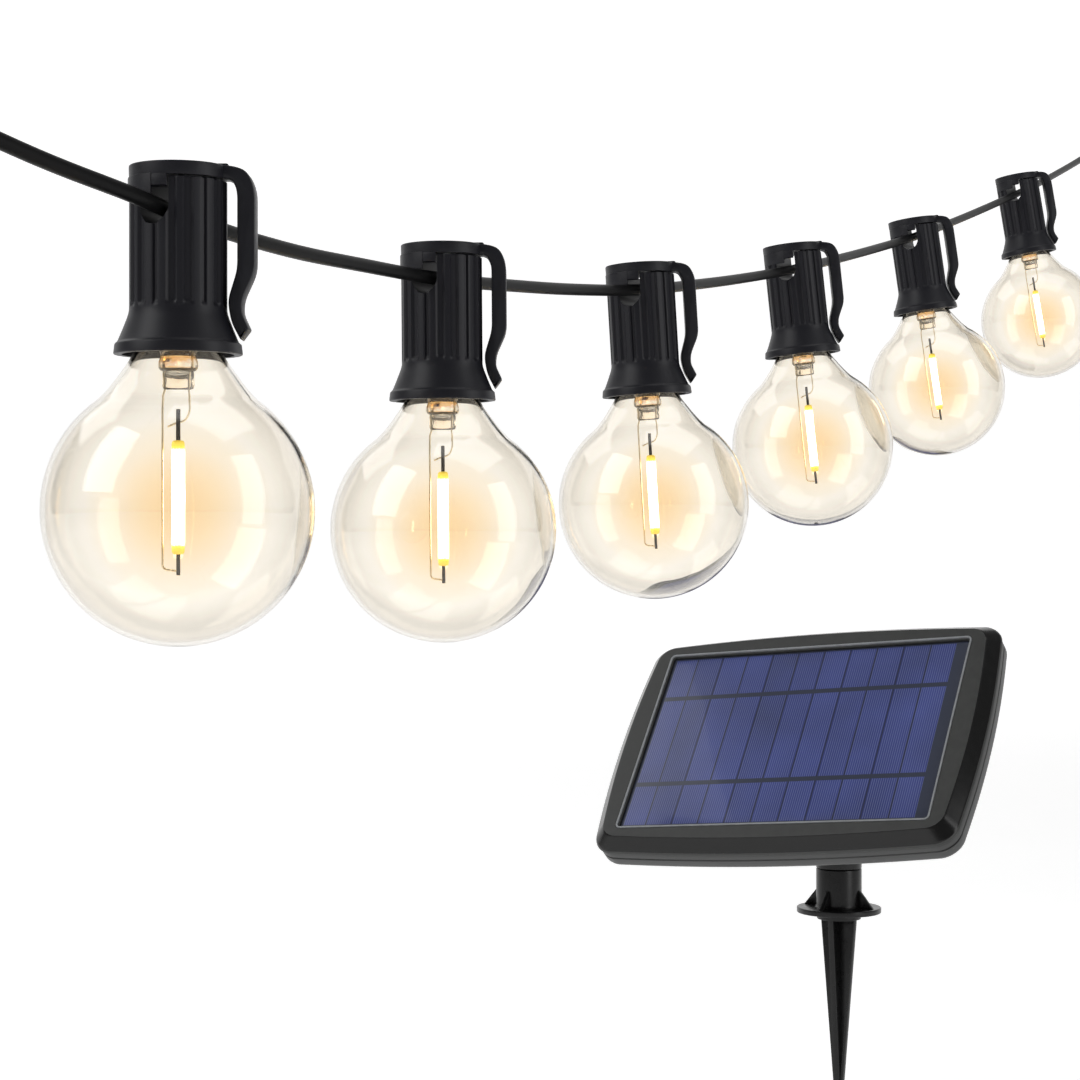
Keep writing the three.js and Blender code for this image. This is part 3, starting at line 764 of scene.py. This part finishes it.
def slot_cutter(direction):
    """A U-shaped slot right through the socket along the cable, open at the top."""
    outline = [(-HOLE_HALF_WIDTH, BODY_TOP + 1), (HOLE_HALF_WIDTH, BODY_TOP + 1)]
    for k in range(17):
        a = -math.pi * k / 16
        outline.append((HOLE_HALF_WIDTH * math.cos(a), HOLE_BOTTOM_Z + HOLE_HALF_WIDTH * math.sin(a)))
    part = extrude(outline, -12, 12)
    turn = math.atan2(-direction.x, direction.y)
    return moved(part, Matrix.Rotation(turn, 4, "Z"))


def arc_plate(radius, thickness, middle, half_angle, z_low, z_high, steps=14):
    """A plate that follows the socket's round wall, with softened edges."""
    section = fillet(
        [(radius, z_low), (radius + thickness, z_low), (radius + thickness, z_high), (radius, z_high)],
        min(thickness, 0.3) * 0.8,
        closed=True,
        steps=2,
    )
    rings = []
    for k in range(steps + 1):
        a = middle + half_angle * (2 * k / steps - 1)
        rings.append([(p.x * math.sin(a), -p.x * math.cos(a), p.y) for p in section])
    return skin(rings)


ARM = [
    (4.5, 50.35, 0), (8.0, 50.35, 1.2), (10.3, 49.6, 2.0), (11.46, 47.0, 1.6), (11.46, 34.9, 1.4),
    (9.62, 30.9, 1.2), (9.5, 28.9, 0.8), (10.6, 26.5, 0.25), (9.35, 24.85, 0.25), (7.95, 27.5, 1.2),
    (7.45, 30.6, 1.2), (8.85, 35.2, 1.2), (8.85, 46.6, 1.2), (8.2, 48.1, 0.7), (7.4, 48.42, 0),
    (4.5, 48.42, 0),
]


def cap_parts(direction):
    disc = fillet([(0, 48.4), (BODY_R, 48.4, 0.1), (7.2, CAP_TOP, 0.3), (0, CAP_TOP)], 0.2)
    top = revolve(pairs(disc), 96)
    arm_outline = [tuple(p) for p in fillet(ARM, 0.5, closed=True)]
    arm = extrude(arm_outline, -2.2, 2.2, 0.4)
    bump_outline = fillet_pairs([(3.4, 50.2), (3.7, 50.68), (7.4, 50.68), (7.7, 50.2)], 0.2)
    bump = extrude(bump_outline, -1.6, 1.6, 0.15)
    facing = math.atan2(direction.x, direction.y)
    front = -facing
    tongue = arc_plate(5.2, 2.05, front, math.asin(HOLE_HALF_WIDTH / BODY_R) - 0.015, 46.75, 48.5)
    apron = arc_plate(7.0, 0.33, front - 0.52, 0.52, 45.6, 48.6)
    return top, arm, bump, tongue, apron


def fillet_pairs(points, radius):
    return [tuple(p) for p in fillet(points, radius, closed=True)]


GLOBE_R = 20
NECK_LATITUDE = math.radians(53)
GLOBE_STEPS = 44


def globe_profile(offset):
    """The globe's outline from its lowest point up into the neck, moved inwards by offset."""
    radius = GLOBE_R - offset
    points = []
    for k in range(GLOBE_STEPS + 1):
        latitude = -math.pi / 2 + (NECK_LATITUDE + math.pi / 2) * k / GLOBE_STEPS
        points.append((radius * math.cos(latitude), radius * math.sin(latitude)))
    points[0] = (0, -radius)
    start = Vector((points[-1][0], 0, points[-1][1]))
    neck = interpolate_bezier(
        start,
        Vector((10 - offset, 0, 17.5 - offset * 0.4)),
        Vector((7.9 - offset, 0, 20.9)),
        Vector((4.7 - offset, 0, 25.6)),
        18,
    )
    return points + [(p.x, p.z) for p in neck[1:]] + [(4.7 - offset, 26.9)]


def globe_part():
    profile = globe_profile(0) + list(reversed(globe_profile(0.7)))
    return revolve(profile, 96)


def screw_base_part():
    """A rolled brass-plated shell with a true helical thread of 2.54 mm pitch."""

    def thread(radius, z, angle):
        if not 25.4 < z < 35.2 or radius < 5.5:
            return radius
        ends = smoothstep(25.4, 26.6, z) * (1 - smoothstep(34.2, 35.2, z))
        wave = 0.5 + 0.5 * math.cos(TURN * z / 2.54 - angle)
        return radius + 0.38 * wave * ends

    levels = [25.2 + 0.25 * k for k in range(41)]
    profile = [(0, 36.2), (5.2, 36.0), (5.2, 24.9), (5.5, 24.85), (5.56, 25.1)]
    profile += [(5.56, z) for z in levels] + [(5.5, 35.6), (4.9, 36.2), (3.5, 36.7), (0, 36.8)]
    return revolve(profile, 72, thread)


def tip_part():
    dome = [(0, 37.1), (2.2, 37.1), (2.1, 37.5), (1.7, 38.0), (1.0, 38.25), (0, 38.3)]
    return revolve(dome, 32)


def sweep(points, radius, sides=12):
    """A round wire through points, given as rings square to its run."""
    rings = []
    reference = Vector((0, 1, 0))
    for k, point in enumerate(points):
        ahead = Vector(points[min(k + 1, len(points) - 1)])
        behind = Vector(points[max(k - 1, 0)])
        tangent = (ahead - behind).normalized()
        side = tangent.cross(reference)
        side = side.normalized() if side.length > 1e-4 else Vector((1, 0, 0))
        up = side.cross(tangent)
        rings.append(
            [
                Vector(point) + (side * math.cos(TURN * s / sides) + up * math.sin(TURN * s / sides)) * radius
                for s in range(sides)
            ]
        )
    return skin(rings)


def bent(points, radius):
    """A wire's run with each bend rounded, in the plane y = 0."""
    return [Vector((p.x, 0, p.y)) for p in fillet(points, radius, steps=5)]


# The pressed end of the glass stem: height, half width and half depth.
PRESS_SECTIONS = [
    (17.25, 1.7, 0.5), (17.4, 2.2, 0.8), (18.0, 2.35, 1.0), (19.0, 2.3, 1.1), (19.8, 2.35, 1.5),
    (20.3, 2.2, 1.8),
]


def stem_parts():
    """The glass tube and the flattened press under it."""
    tube = [
        (0, 20.2), (1.6, 20.0), (2.5, 20.15), (2.95, 20.7), (2.9, 21.6), (2.55, 22.4), (2.9, 23.4),
        (3.0, 25.0), (3.0, 26.5), (0, 26.5),
    ]
    outer = revolve(pairs(fillet(tube, 0.4)), 48)
    rings = []
    for z, wide, deep in PRESS_SECTIONS:
        rings.append([(wide * math.cos(TURN * k / 40), deep * math.sin(TURN * k / 40), z) for k in range(40)])
    return merged(outer, skin(rings))


def wires_part():
    support = bent([(-1.9, 24.5), (-1.9, 17.5), (-2.3, 15.8), (-2.3, -8.6), (-0.2, -8.9)], 0.7)
    hooked = bent([(1.5, 24.5), (1.5, 17.6), (1.75, 14.6), (1.1, 13.2), (-0.2, 12.9), (-1.55, 12.3)], 0.8)
    return merged(sweep(support, 0.16), sweep(hooked, 0.15))


def filament_parts():
    rod = fillet([(0, -6.4), (0.95, -6.4, 0.7), (0.95, 10.3, 0.7), (0, 10.3)], 0.6, steps=6)
    levels = []
    points = pairs(rod)
    for (r0, z0), (r1, z1) in zip(points, points[1:]):
        steps = max(1, int(abs(z1 - z0) / 1.2))
        levels += [(r0 + (r1 - r0) * s / steps, z0 + (z1 - z0) * s / steps) for s in range(steps)]
    levels.append(points[-1])
    body = revolve(levels, 28)
    top = revolve([(0, 10.25), (0.33, 10.25), (0.33, 14.8), (0.28, 14.9), (0, 14.9)], 16)
    low = revolve([(0, -9.5), (0.26, -9.5), (0.3, -9.4), (0.3, -6.35), (0, -6.35)], 16)
    return body, merged(top, low)


def make_light(number):
    matrix = light_matrix(number)
    travel, bulb = f"bulb_{number}_travel", f"bulb_{number}"
    node = f"light_{number}_"
    along = Vector(ROUTE[2 + 3 * number]) - Vector(ROUTE[3 * number])
    direction = matrix.to_3x3().inverted() @ along.normalized()
    shell = piece(
        f"socket_shell_{number}", SOCKET, LOOKS["socket"], ROOT, [node + "socket"], matrix
    )
    carve(shell, [moved(slot_cutter(direction), matrix)])
    top, arm, bump, tongue, apron = cap_parts(direction)
    cap = merged(top, bump)
    extras = {"clip_arm": arm, "cap_tongue": tongue, "cap_apron": apron}
    piece(f"socket_cap_{number}", cap, LOOKS["socket"], ROOT, [node + "cap"], matrix)
    for part_name, part in extras.items():
        piece(f"{part_name}_{number}", part, LOOKS["socket"], ROOT, (), matrix)
    piece(f"glass_globe_{number}", GLOBE, LOOKS["glass"], bulb, [node + "globe"], matrix, 60)
    base = [node + "screw_base"]
    piece(f"threaded_shell_{number}", BASE, LOOKS["plated"], bulb, base, matrix)
    piece(f"solder_tip_{number}", TIP, LOOKS["solder"], travel, [node + "contact_tip"], matrix)
    piece(f"glass_stem_{number}", STEM, LOOKS["stem"], bulb, [node + "stem"], matrix, 60)
    piece(f"support_wires_{number}", WIRES, LOOKS["wire"], bulb, (), matrix)
    rod = [node + "filament"]
    piece(f"led_rod_{number}", ROD, LOOKS["filament"], bulb, rod, matrix)
    piece(f"rod_leads_{number}", LEADS, LOOKS["lead"], bulb, (), matrix)


SOCKET = socket_part()
GLOBE = globe_part()
BASE = screw_base_part()
TIP = tip_part()
STEM = stem_parts()
WIRES = wires_part()
ROD, LEADS = filament_parts()
for light_number in LIGHT_NUMBERS:
    make_light(light_number)

# ---- Ground stake, stem and head ----

YAW = Matrix(HEAD)


def stem_tube_parts():
    profile = fillet(
        [
            (6.9, 0, 0.2), (16.1, 0, 0.4), (16.1, 2.1, 0.4), (9.3, 2.1, 0.5), (8.7, 2.9, 0.4),
            (8.7, 16.8, 0.25), (6.9, 16.8, 0.2),
        ],
        0.3,
        closed=True,
    )
    tube = revolve(pairs(profile), 96)
    outline = fillet_pairs([(8.2, 1.8), (14.6, 1.8), (14.5, 2.3), (8.9, 8.9), (8.2, 8.9)], 0.3)
    gusset = extrude(outline, -0.8, 0.8, 0.15)
    quarter = math.pi / 2
    return merged(tube, *(moved(gusset, Matrix.Rotation(quarter * k, 4, "Z")) for k in range(4)))


def stake_parts():
    head = fillet(
        [(0, -2.5), (8.4, -2.5, 0.3), (8.4, -0.3, 0.3), (6.5, -0.3, 0.1), (6.5, 2.7, 0.3), (0, 2.7)],
        0.2,
    )
    collar = revolve(pairs(head), 64)
    outline = fillet_pairs(
        [(-7.2, -2.0), (-7.2, -3.6), (-1.1, -75.5), (0, -77), (1.1, -75.5), (7.2, -3.6), (7.2, -2.0)], 0.4
    )
    blade = extrude(outline, -1.1, 1.1, 0.3)
    crossed = moved(blade, Matrix.Rotation(math.pi / 2, 4, "Z"))
    return merged(collar, blade, crossed)


def head_parts():
    neck = [(0, 3), (6.5, 3, 0.4), (6.5, 17.1, 0.1), (8.7, 17.1, 0.25), (8.7, 26.4, 1.2), (6.9, 30, 0.6)]
    neck = fillet(neck + [(0, 30)], 0.3)
    core = revolve(pairs(neck), 80)
    pivot = TILTED.translation.z
    outline = [(-5.0, 26.5), (5.0, 26.5)]
    for k in range(33):
        a = math.radians(-14 + 208 * k / 32)
        outline.append((6.5 * math.cos(a), pivot + 6.5 * math.sin(a)))
    ear = moved(extrude(outline, -1.6, 1.6, 0.35), Matrix.Rotation(math.pi / 2, 4, "Z"))
    ears = [moved(ear, Matrix.Translation((5.2 * side, 0, 0))) for side in (-1, 1)]
    return merged(core, *ears)


def thumbscrew_parts():
    """The clamping screw and its lobed knob, about x with the pivot at the origin."""
    screw = revolve([(0, -8.3), (1.7, -8.3), (2.0, -8.0), (2.0, 7.6), (0, 7.6)], 32)

    def lobes(radius, z, angle):
        return radius - 0.55 * (0.5 + 0.5 * math.cos(10 * angle)) if radius > 5 else radius

    knob_outline = [(0, 7.1), (7.5, 7.1, 0.7), (7.5, 12.1, 0.9), (5, 12.1, 0.4), (4.6, 11.6, 0.3), (0, 11.6)]
    knob_outline = fillet(knob_outline, 0.3)
    knob = revolve(pairs(knob_outline), 160, lobes)
    return turned_to_x(merged(screw, knob))


SHELL_BACK = 24.0
SHELL_WALL = 2.2


def bracket_parts():
    back = SHELL_BACK - PIVOT_TO_FACE
    foot_back = back + 0.3 + 4
    knuckle_outline = fillet_pairs([(2.3, -3.3), (6.5, -3.3, 0.35), (6.5, 3.3, 0.35), (2.3, 3.3)], 0.2)
    knuckle = turned_to_x(revolve(knuckle_outline, 64))
    outline = fillet_pairs([(-3.3, foot_back - 1), (-3.3, -3), (3.3, -3), (3.3, foot_back - 1)], 0.3)
    tongue = moved(extrude(outline, -5.9, 5.9, 0.4), Matrix.Rotation(math.pi / 2, 4, "X"))
    tongue = moved(tongue, Matrix.Rotation(math.pi, 4, "Z"))
    tongue = [Vector((v.x, -abs(v.y), v.z)) for v in tongue[0]], tongue[1]
    foot_outline = fillet([(0, 0), (14, 0, 0.4), (14, 2.6, 1.0), (8, 4, 0.8), (0, 4)], 0.5)
    foot = turned_to_y(revolve(pairs(foot_outline), 80))
    foot = moved(foot, Matrix.Translation((0, foot_back - 4, 0)))
    boss_end = back - SHELL_WALL - 0.3 - 1
    boss_length = foot_back - 2 - boss_end
    boss = turned_to_y(revolve([(0, 0), (6.6, 0), (6.6, 1), (5, 1), (5, boss_length), (0, boss_length)], 48))
    boss = moved(boss, Matrix.Translation((0, boss_end, 0)))
    return merged(knuckle, tongue, foot, boss)


piece("stem_and_flange", stem_tube_parts(), LOOKS["stake"], ROOT, ["stem_tube"], YAW)
piece("stake_blades", stake_parts(), LOOKS["stake"], ROOT, ["ground_stake"], YAW)
piece("swivel_head", head_parts(), LOOKS["stake"], "stem_head", ["stem_head"], HEAD)
PIVOT = Matrix.Translation(TILTED.translation) @ HEAD
HOUSING = LOOKS["housing"]
piece("clamp_knob", thumbscrew_parts(), HOUSING, "thumbscrew", ["tilt_thumbscrew"], PIVOT)
piece("pivot_bracket", bracket_parts(), HOUSING, "tilt_bracket", ["tilt_bracket"], TILTED)

# ---- Solar panel ----

PANEL_SIZE = (145.0, 100.5)
CORNER_R = 9.0
BOW = 2.2


def rounded_ring(width, height, corner, bow, y):
    """A rectangle's outline at depth y, with round corners and sides that bow outwards."""
    half_w, half_h = width / 2 - corner, height / 2 - corner
    corner_steps, side_steps = 10, 20
    ring = []
    for q in range(4):
        sx = 1 if q in (0, 3) else -1
        sz = 1 if q < 2 else -1
        for k in range(corner_steps):
            a = math.pi / 2 * (q + k / corner_steps)
            ring.append((sx * half_w + corner * math.cos(a), y, sz * half_h + corner * math.sin(a)))
        for k in range(side_steps):
            t = 1 - 2 * k / side_steps
            swell = bow * (1 - t * t)
            if q % 2 == 0:
                ring.append((t * half_w * sx, y, sz * (height / 2 + swell)))
            else:
                ring.append((sx * (width / 2 + swell), y, t * half_h * sz))
    return ring


def panel_ring(inset_mm, y):
    width, height = PANEL_SIZE
    corner = max(CORNER_R - inset_mm * 0.5, 1.5)
    return rounded_ring(width - 2 * inset_mm, height - 2 * inset_mm, corner, BOW, y)


def window_ring(grow, y):
    return rounded_ring(WINDOW[0] + 2 * grow, WINDOW[1] + 2 * grow, 1.0 + max(grow, 0), 0, y)


# The front frame's sections. The lip's are measured outwards from the window, the rest inwards from the
# panel's outline, and the second number is the depth.
FRAME_LIP = [(0.0, 3.6), (0.0, 0.1), (0.0, -0.6), (0.2, -0.9), (1.0, -1.1), (1.15, -1.3), (1.35, -1.4)]
FRAME_OUTSIDE = [
    (6.2, -1.4), (4.9, -1.4), (4.45, -1.32), (4.2, -1.12), (3.9, -0.8), (0.75, 2.3), (0.3, 2.8),
    (0.08, 3.3), (0.0, 3.7), (0.15, 4.0), (3.0, 4.0),
]
FRAME_END = (1.0, 4.0)
TRIM_SECTIONS = [(0.35, -0.7), (0.35, -1.5), (0.5, -1.62), (0.85, -1.62), (1.0, -1.5), (1.0, -0.7)]


def frame_rings():
    """Cross-section of the front frame: window lip, flat bezel, chamfer, side and back."""
    lip = [window_ring(*section) for section in FRAME_LIP]
    outside = [panel_ring(*section) for section in FRAME_OUTSIDE]
    return lip + outside + [window_ring(*FRAME_END)]


def make_front_frame():
    rings = frame_rings()
    part = skin(rings, closed=True)
    obj = piece("bezel_frame", part, LOOKS["frame"], "panel", ["front_frame"], PANEL, 25)
    obj.data.materials.append(LOOKS["chamfer"])
    inverse = (Matrix.Scale(MM, 4) @ PANEL).inverted()
    for face in obj.data.polygons:
        middle = inverse @ face.center
        local = PANEL.to_3x3().inverted() @ face.normal
        if -1.3 < middle.y < 3.0 and local.y < -0.2 and abs(local.y) < 0.93 and outside_window(middle):
            face.material_index = 1
    return obj


def outside_window(point):
    return abs(point.x) > WINDOW[0] / 2 + 3 or abs(point.z) > WINDOW[1] / 2 + 3


def make_trim():
    """The thin pale bead round the window."""
    rings = [window_ring(*section) for section in TRIM_SECTIONS]
    piece("window_trim", skin(rings, closed=True), LOOKS["trim"], "panel", (), PANEL)


def make_plate():
    half_w, half_h = WINDOW[0] / 2 - 0.3, WINDOW[1] / 2 - 0.3
    rings = [
        rounded_ring(2 * half_w - 0.8, 2 * half_h - 0.8, 0.8, 0, 0.0),
        rounded_ring(2 * half_w - 0.2, 2 * half_h - 0.2, 0.9, 0, 0.12),
        rounded_ring(2 * half_w, 2 * half_h, 1.0, 0, 0.4),
        rounded_ring(2 * half_w, 2 * half_h, 1.0, 0, 2.6),
    ]
    return piece("cell_laminate", skin(rings), LOOKS["cells"], "panel", ["solar_plate"], PANEL)


BUTTONS = {"power_button": 26.0, "mode_button": 42.0}
CONTROLS_Z = -20.0
INLET_X = -34.0
SCREWS = [(-50, 28), (50, 28), (-50, -28), (50, -28), (0, 30)]


def round_cutter(radius, x, z, y_from, y_to, sides=40):
    part = turned_to_y(revolve([(0, y_from), (radius, y_from), (radius, y_to), (0, y_to)], sides))
    return moved(moved(part, Matrix.Translation((x, 0, z))), PANEL)


# The rear housing's sections: how far inside the panel's outline, and how far behind the window.
REAR_OUTSIDE = [
    (2.6, 4.3), (0.9, 4.3), (0.5, 4.6), (0.4, 5.2), (0.4, 6.8), (0.75, 7.0), (0.75, 7.6), (0.4, 7.8),
    (0.4, 10.6), (0.8, 11.8), (1.8, 12.7), (3.4, 13.3), (14.6, 21.6), (15.6, 22.9), (17.0, 23.8),
    (18.4, SHELL_BACK), (40.0, SHELL_BACK),
]
REAR_INSIDE = [(40.0, 21.8), (17.2, 21.8), (2.6, 10.0)]


def make_rear_housing():
    rings = [panel_ring(*section) for section in REAR_OUTSIDE + REAR_INSIDE]
    vertices, faces = skin(rings, closed=True)
    count = len(rings[0])
    inner_ring = len(REAR_OUTSIDE) * count
    back_ring = inner_ring - count
    bridge = set()
    for k in range(count):
        n = (k + 1) % count
        bridge.add((back_ring + k, back_ring + n, inner_ring + n, inner_ring + k))
    faces = [f for f in faces if f not in bridge]
    faces.append(tuple(range(back_ring, back_ring + count)))
    faces.append(tuple(range(inner_ring, inner_ring + count)))
    part = vertices, faces
    obj = piece("rear_shell", part, HOUSING, "panel", ["rear_housing"], PANEL, 30)
    cutters = [round_cutter(3.5, x, CONTROLS_Z, 20, 25) for x in BUTTONS.values()]
    cutters += [round_cutter(4.3, INLET_X, CONTROLS_Z, 20, 25), round_cutter(5.3, 0, 0, 20, 25)]
    cutters += [round_cutter(3.1, x, z, 22.9, 25) for x, z in SCREWS]
    carve(obj, cutters)
    return obj


def screw_head():
    """A pan head with a cross recess, about y, its face at the origin."""
    profile = fillet([(0, -1.2), (2.5, -1.2), (2.5, -0.5, 0.5), (1.7, 0, 0.5), (0, 0)], 0.3)
    return turned_to_y(revolve(pairs(profile), 40))


def cross_bars():
    bars = []
    for turn in (0, math.pi / 2):
        outline = fillet_pairs([(-1.4, -0.32), (1.4, -0.32), (1.4, 0.32), (-1.4, 0.32)], 0.15)
        bars.append(moved(extrude(outline, -0.9, 0.3), Matrix.Rotation(turn, 4, "Y")))
    return bars


def make_screws():
    for number, (x, z) in enumerate(SCREWS, 1):
        place_there = PANEL @ Matrix.Translation((x, 23.8, z)) @ Matrix.Rotation(0.4 * number, 4, "Y")
        name = f"shell_screw_{number}"
        head = piece(name, screw_head(), LOOKS["brass"], "panel", (), place_there)
        carve(head, [moved(bar, place_there) for bar in cross_bars()])


def button_part():
    top = SHELL_BACK + 1.4
    profile = fillet(
        [
            (0, 20.5), (4.2, 20.5, 0.1), (4.2, 21.4, 0.1), (3.2, 21.4, 0.1), (3.2, top, 0.5),
            (2.2, top, 0.3), (1.9, top - 0.3, 0.2), (0, top - 0.35),
        ],
        0.2,
    )
    return turned_to_y(revolve(pairs(profile), 48))


def inlet_part():
    back = SHELL_BACK + 2.5
    profile = fillet(
        [(0, 17), (4, 17, 0.2), (4, back, 0.35), (2.4, back, 0.35), (2.4, 20, 0.1), (0, 20)],
        0.2,
    )
    barrel = turned_to_y(revolve(pairs(profile), 48))
    pin = turned_to_y(revolve([(0, 19.9), (0.5, 19.9), (0.5, 24.2), (0.3, 24.6), (0, 24.7)], 20))
    return barrel, pin


def battery_part():
    y, z, half = 13.6, 17.0, 24.75
    can = [(0, -half), (7.2, -half, 0.6), (7.2, half - 2, 0.6), (5.6, half - 1.6, 0.3)]
    body = fillet(can + [(2.6, half - 1.2, 0.1), (2.6, half, 0.2), (0, half)], 0.2)
    return moved(turned_to_x(revolve(pairs(body), 64)), Matrix.Translation((0, y, z)))


def board_parts():
    slab = extrude(fillet_pairs([(8, -30), (52, -30), (52, -9), (8, -9)], 1), 17.4, 19.0)
    chips = []
    for x, z, w, h in ((16, -14, 6, 4), (30, -26, 5, 5), (47, -12, 3, 5), (14, -26, 3, 3)):
        left, right = x - w / 2, x + w / 2
        low, high = z - h / 2, z + h / 2
        outline = [(left, low), (right, low), (right, high), (left, high)]
        chips.append(extrude(outline, 16.2, 17.5, 0.15))
    return merged(slab, *chips)


make_front_frame()
make_trim()
make_plate()
make_rear_housing()
make_screws()
RUBBER = LOOKS["rubber"]
for button_name, button_x in BUTTONS.items():
    button_frame = PANEL @ Matrix.Translation((button_x, 0, CONTROLS_Z))
    cap_name = f"{button_name}_cap"
    piece(cap_name, button_part(), RUBBER, button_name, [button_name], button_frame)
inlet_frame = PANEL @ Matrix.Translation((INLET_X, 0, CONTROLS_Z))
inlet_barrel, inlet_pin = inlet_part()
piece("inlet_barrel", inlet_barrel, RUBBER, "panel", ["cable_inlet"], inlet_frame)
piece("inlet_pin", inlet_pin, LOOKS["plated"], "panel", (), inlet_frame)
piece("battery_cell", battery_part(), LOOKS["battery"], "panel", ["battery"], PANEL)
piece("control_board", board_parts(), LOOKS["board"], "panel", ["circuit_board"], PANEL)

# ---- Stage and light ----

FLOOR_Z = -78.0
WALL_Y = 5600.0
SWEEP_R = 1500.0
STAGE_HALF = 9000.0
STAGE_HEIGHT = 5000.0
SWEEP_STEPS = 24
# The floor near the set is lit by the lamps, and the far end of the stage glows by itself.
FLOOR_GLOW = [(0.1, 0.5), (0.45, 0.68)]
FLOOR_TONES = [(0.3, (0.80, 0.80, 0.80, 1)), (0.7, (0.83, 0.83, 0.83, 1))]
WHITE = (1, 1, 1, 1)
LIGHT_AIM = (-50, -300, 120)
SHEEN_PLACE = (-1378, 440, 1400)
SHEEN_AIM = (-1378, 440, 0)
SHEEN_TURN = math.radians(-22.9)
WORLD_STRENGTH = 0.2


def make_stage():
    """A pale floor that curves up into a backdrop."""
    section = [(-STAGE_HALF, FLOOR_Z), (WALL_Y - SWEEP_R, FLOOR_Z)]
    for k in range(1, SWEEP_STEPS):
        a = math.pi / 2 * k / SWEEP_STEPS
        section.append((WALL_Y - SWEEP_R + SWEEP_R * math.sin(a), FLOOR_Z + SWEEP_R * (1 - math.cos(a))))
    section.append((WALL_Y, FLOOR_Z + STAGE_HEIGHT))
    vertices, faces = [], []
    for y, z in section:
        vertices += [Vector((side * STAGE_HALF, y, z)) * MM for side in (-1, 1)]
    for k in range(len(section) - 1):
        faces.append((2 * k, 2 * k + 1, 2 * k + 3, 2 * k + 2))
    mesh = bpy.data.meshes.new("floor")
    mesh.from_pydata(vertices, [], faces)
    mesh.polygons.foreach_set("use_smooth", [True] * len(faces))
    local = mesh.attributes.new("local", "FLOAT_VECTOR", "POINT")
    local.data.foreach_set("vector", [c / MM for v in mesh.vertices for c in v.co])
    look = Look("floor", Roughness=0.9)
    tone = look.noise(0.002, 3.0)
    shade = look.ramp(tone, FLOOR_TONES)
    look.link(shade, look.shader.inputs["Base Color"])
    look.shader.inputs["Emission Color"].default_value = WHITE
    depth = look.math("DIVIDE", look.axes()[1], WALL_Y)
    glow = look.ramp(depth, FLOOR_GLOW)
    look.link(glow, look.shader.inputs["Emission Strength"])
    mesh.materials.append(look.material)
    floor = bpy.data.objects.new("floor", mesh)
    bpy.context.collection.objects.link(floor)


def area_light(name, place_mm, aim_mm, size, power, height=None):
    data = bpy.data.lights.new(name, "AREA")
    data.energy = power
    data.shape = "RECTANGLE"
    data.size = size
    data.size_y = height or size
    lamp = bpy.data.objects.new(name, data)
    lamp.location = Vector(place_mm) * MM
    aim = Vector(aim_mm) - Vector(place_mm)
    lamp.rotation_euler = aim.to_track_quat("-Z", "Y").to_euler()
    bpy.context.collection.objects.link(lamp)
    return lamp


def make_lights():
    area_light("key", (-1100, -1000, 900), LIGHT_AIM, 0.7, 8, 1.1)
    area_light("side", (1000, -900, 450), LIGHT_AIM, 0.5, 5, 1.2)
    area_light("top", (250, -350, 1400), LIGHT_AIM, 1.0, 4.5)
    # Lies level, so that its slanting edge shows across the left third of the solar plate.
    sheen = area_light("sheen", SHEEN_PLACE, SHEEN_AIM, 1.2, 7)
    sheen.rotation_euler = (0, 0, SHEEN_TURN)
    world = bpy.data.worlds.new("studio")
    bpy.context.scene.world = world
    world.use_nodes = True
    background = world.node_tree.nodes["Background"]
    background.inputs["Color"].default_value = WHITE
    background.inputs["Strength"].default_value = WORLD_STRENGTH


make_stage()
make_lights()
bpy.context.scene.view_settings.view_transform = "Standard"
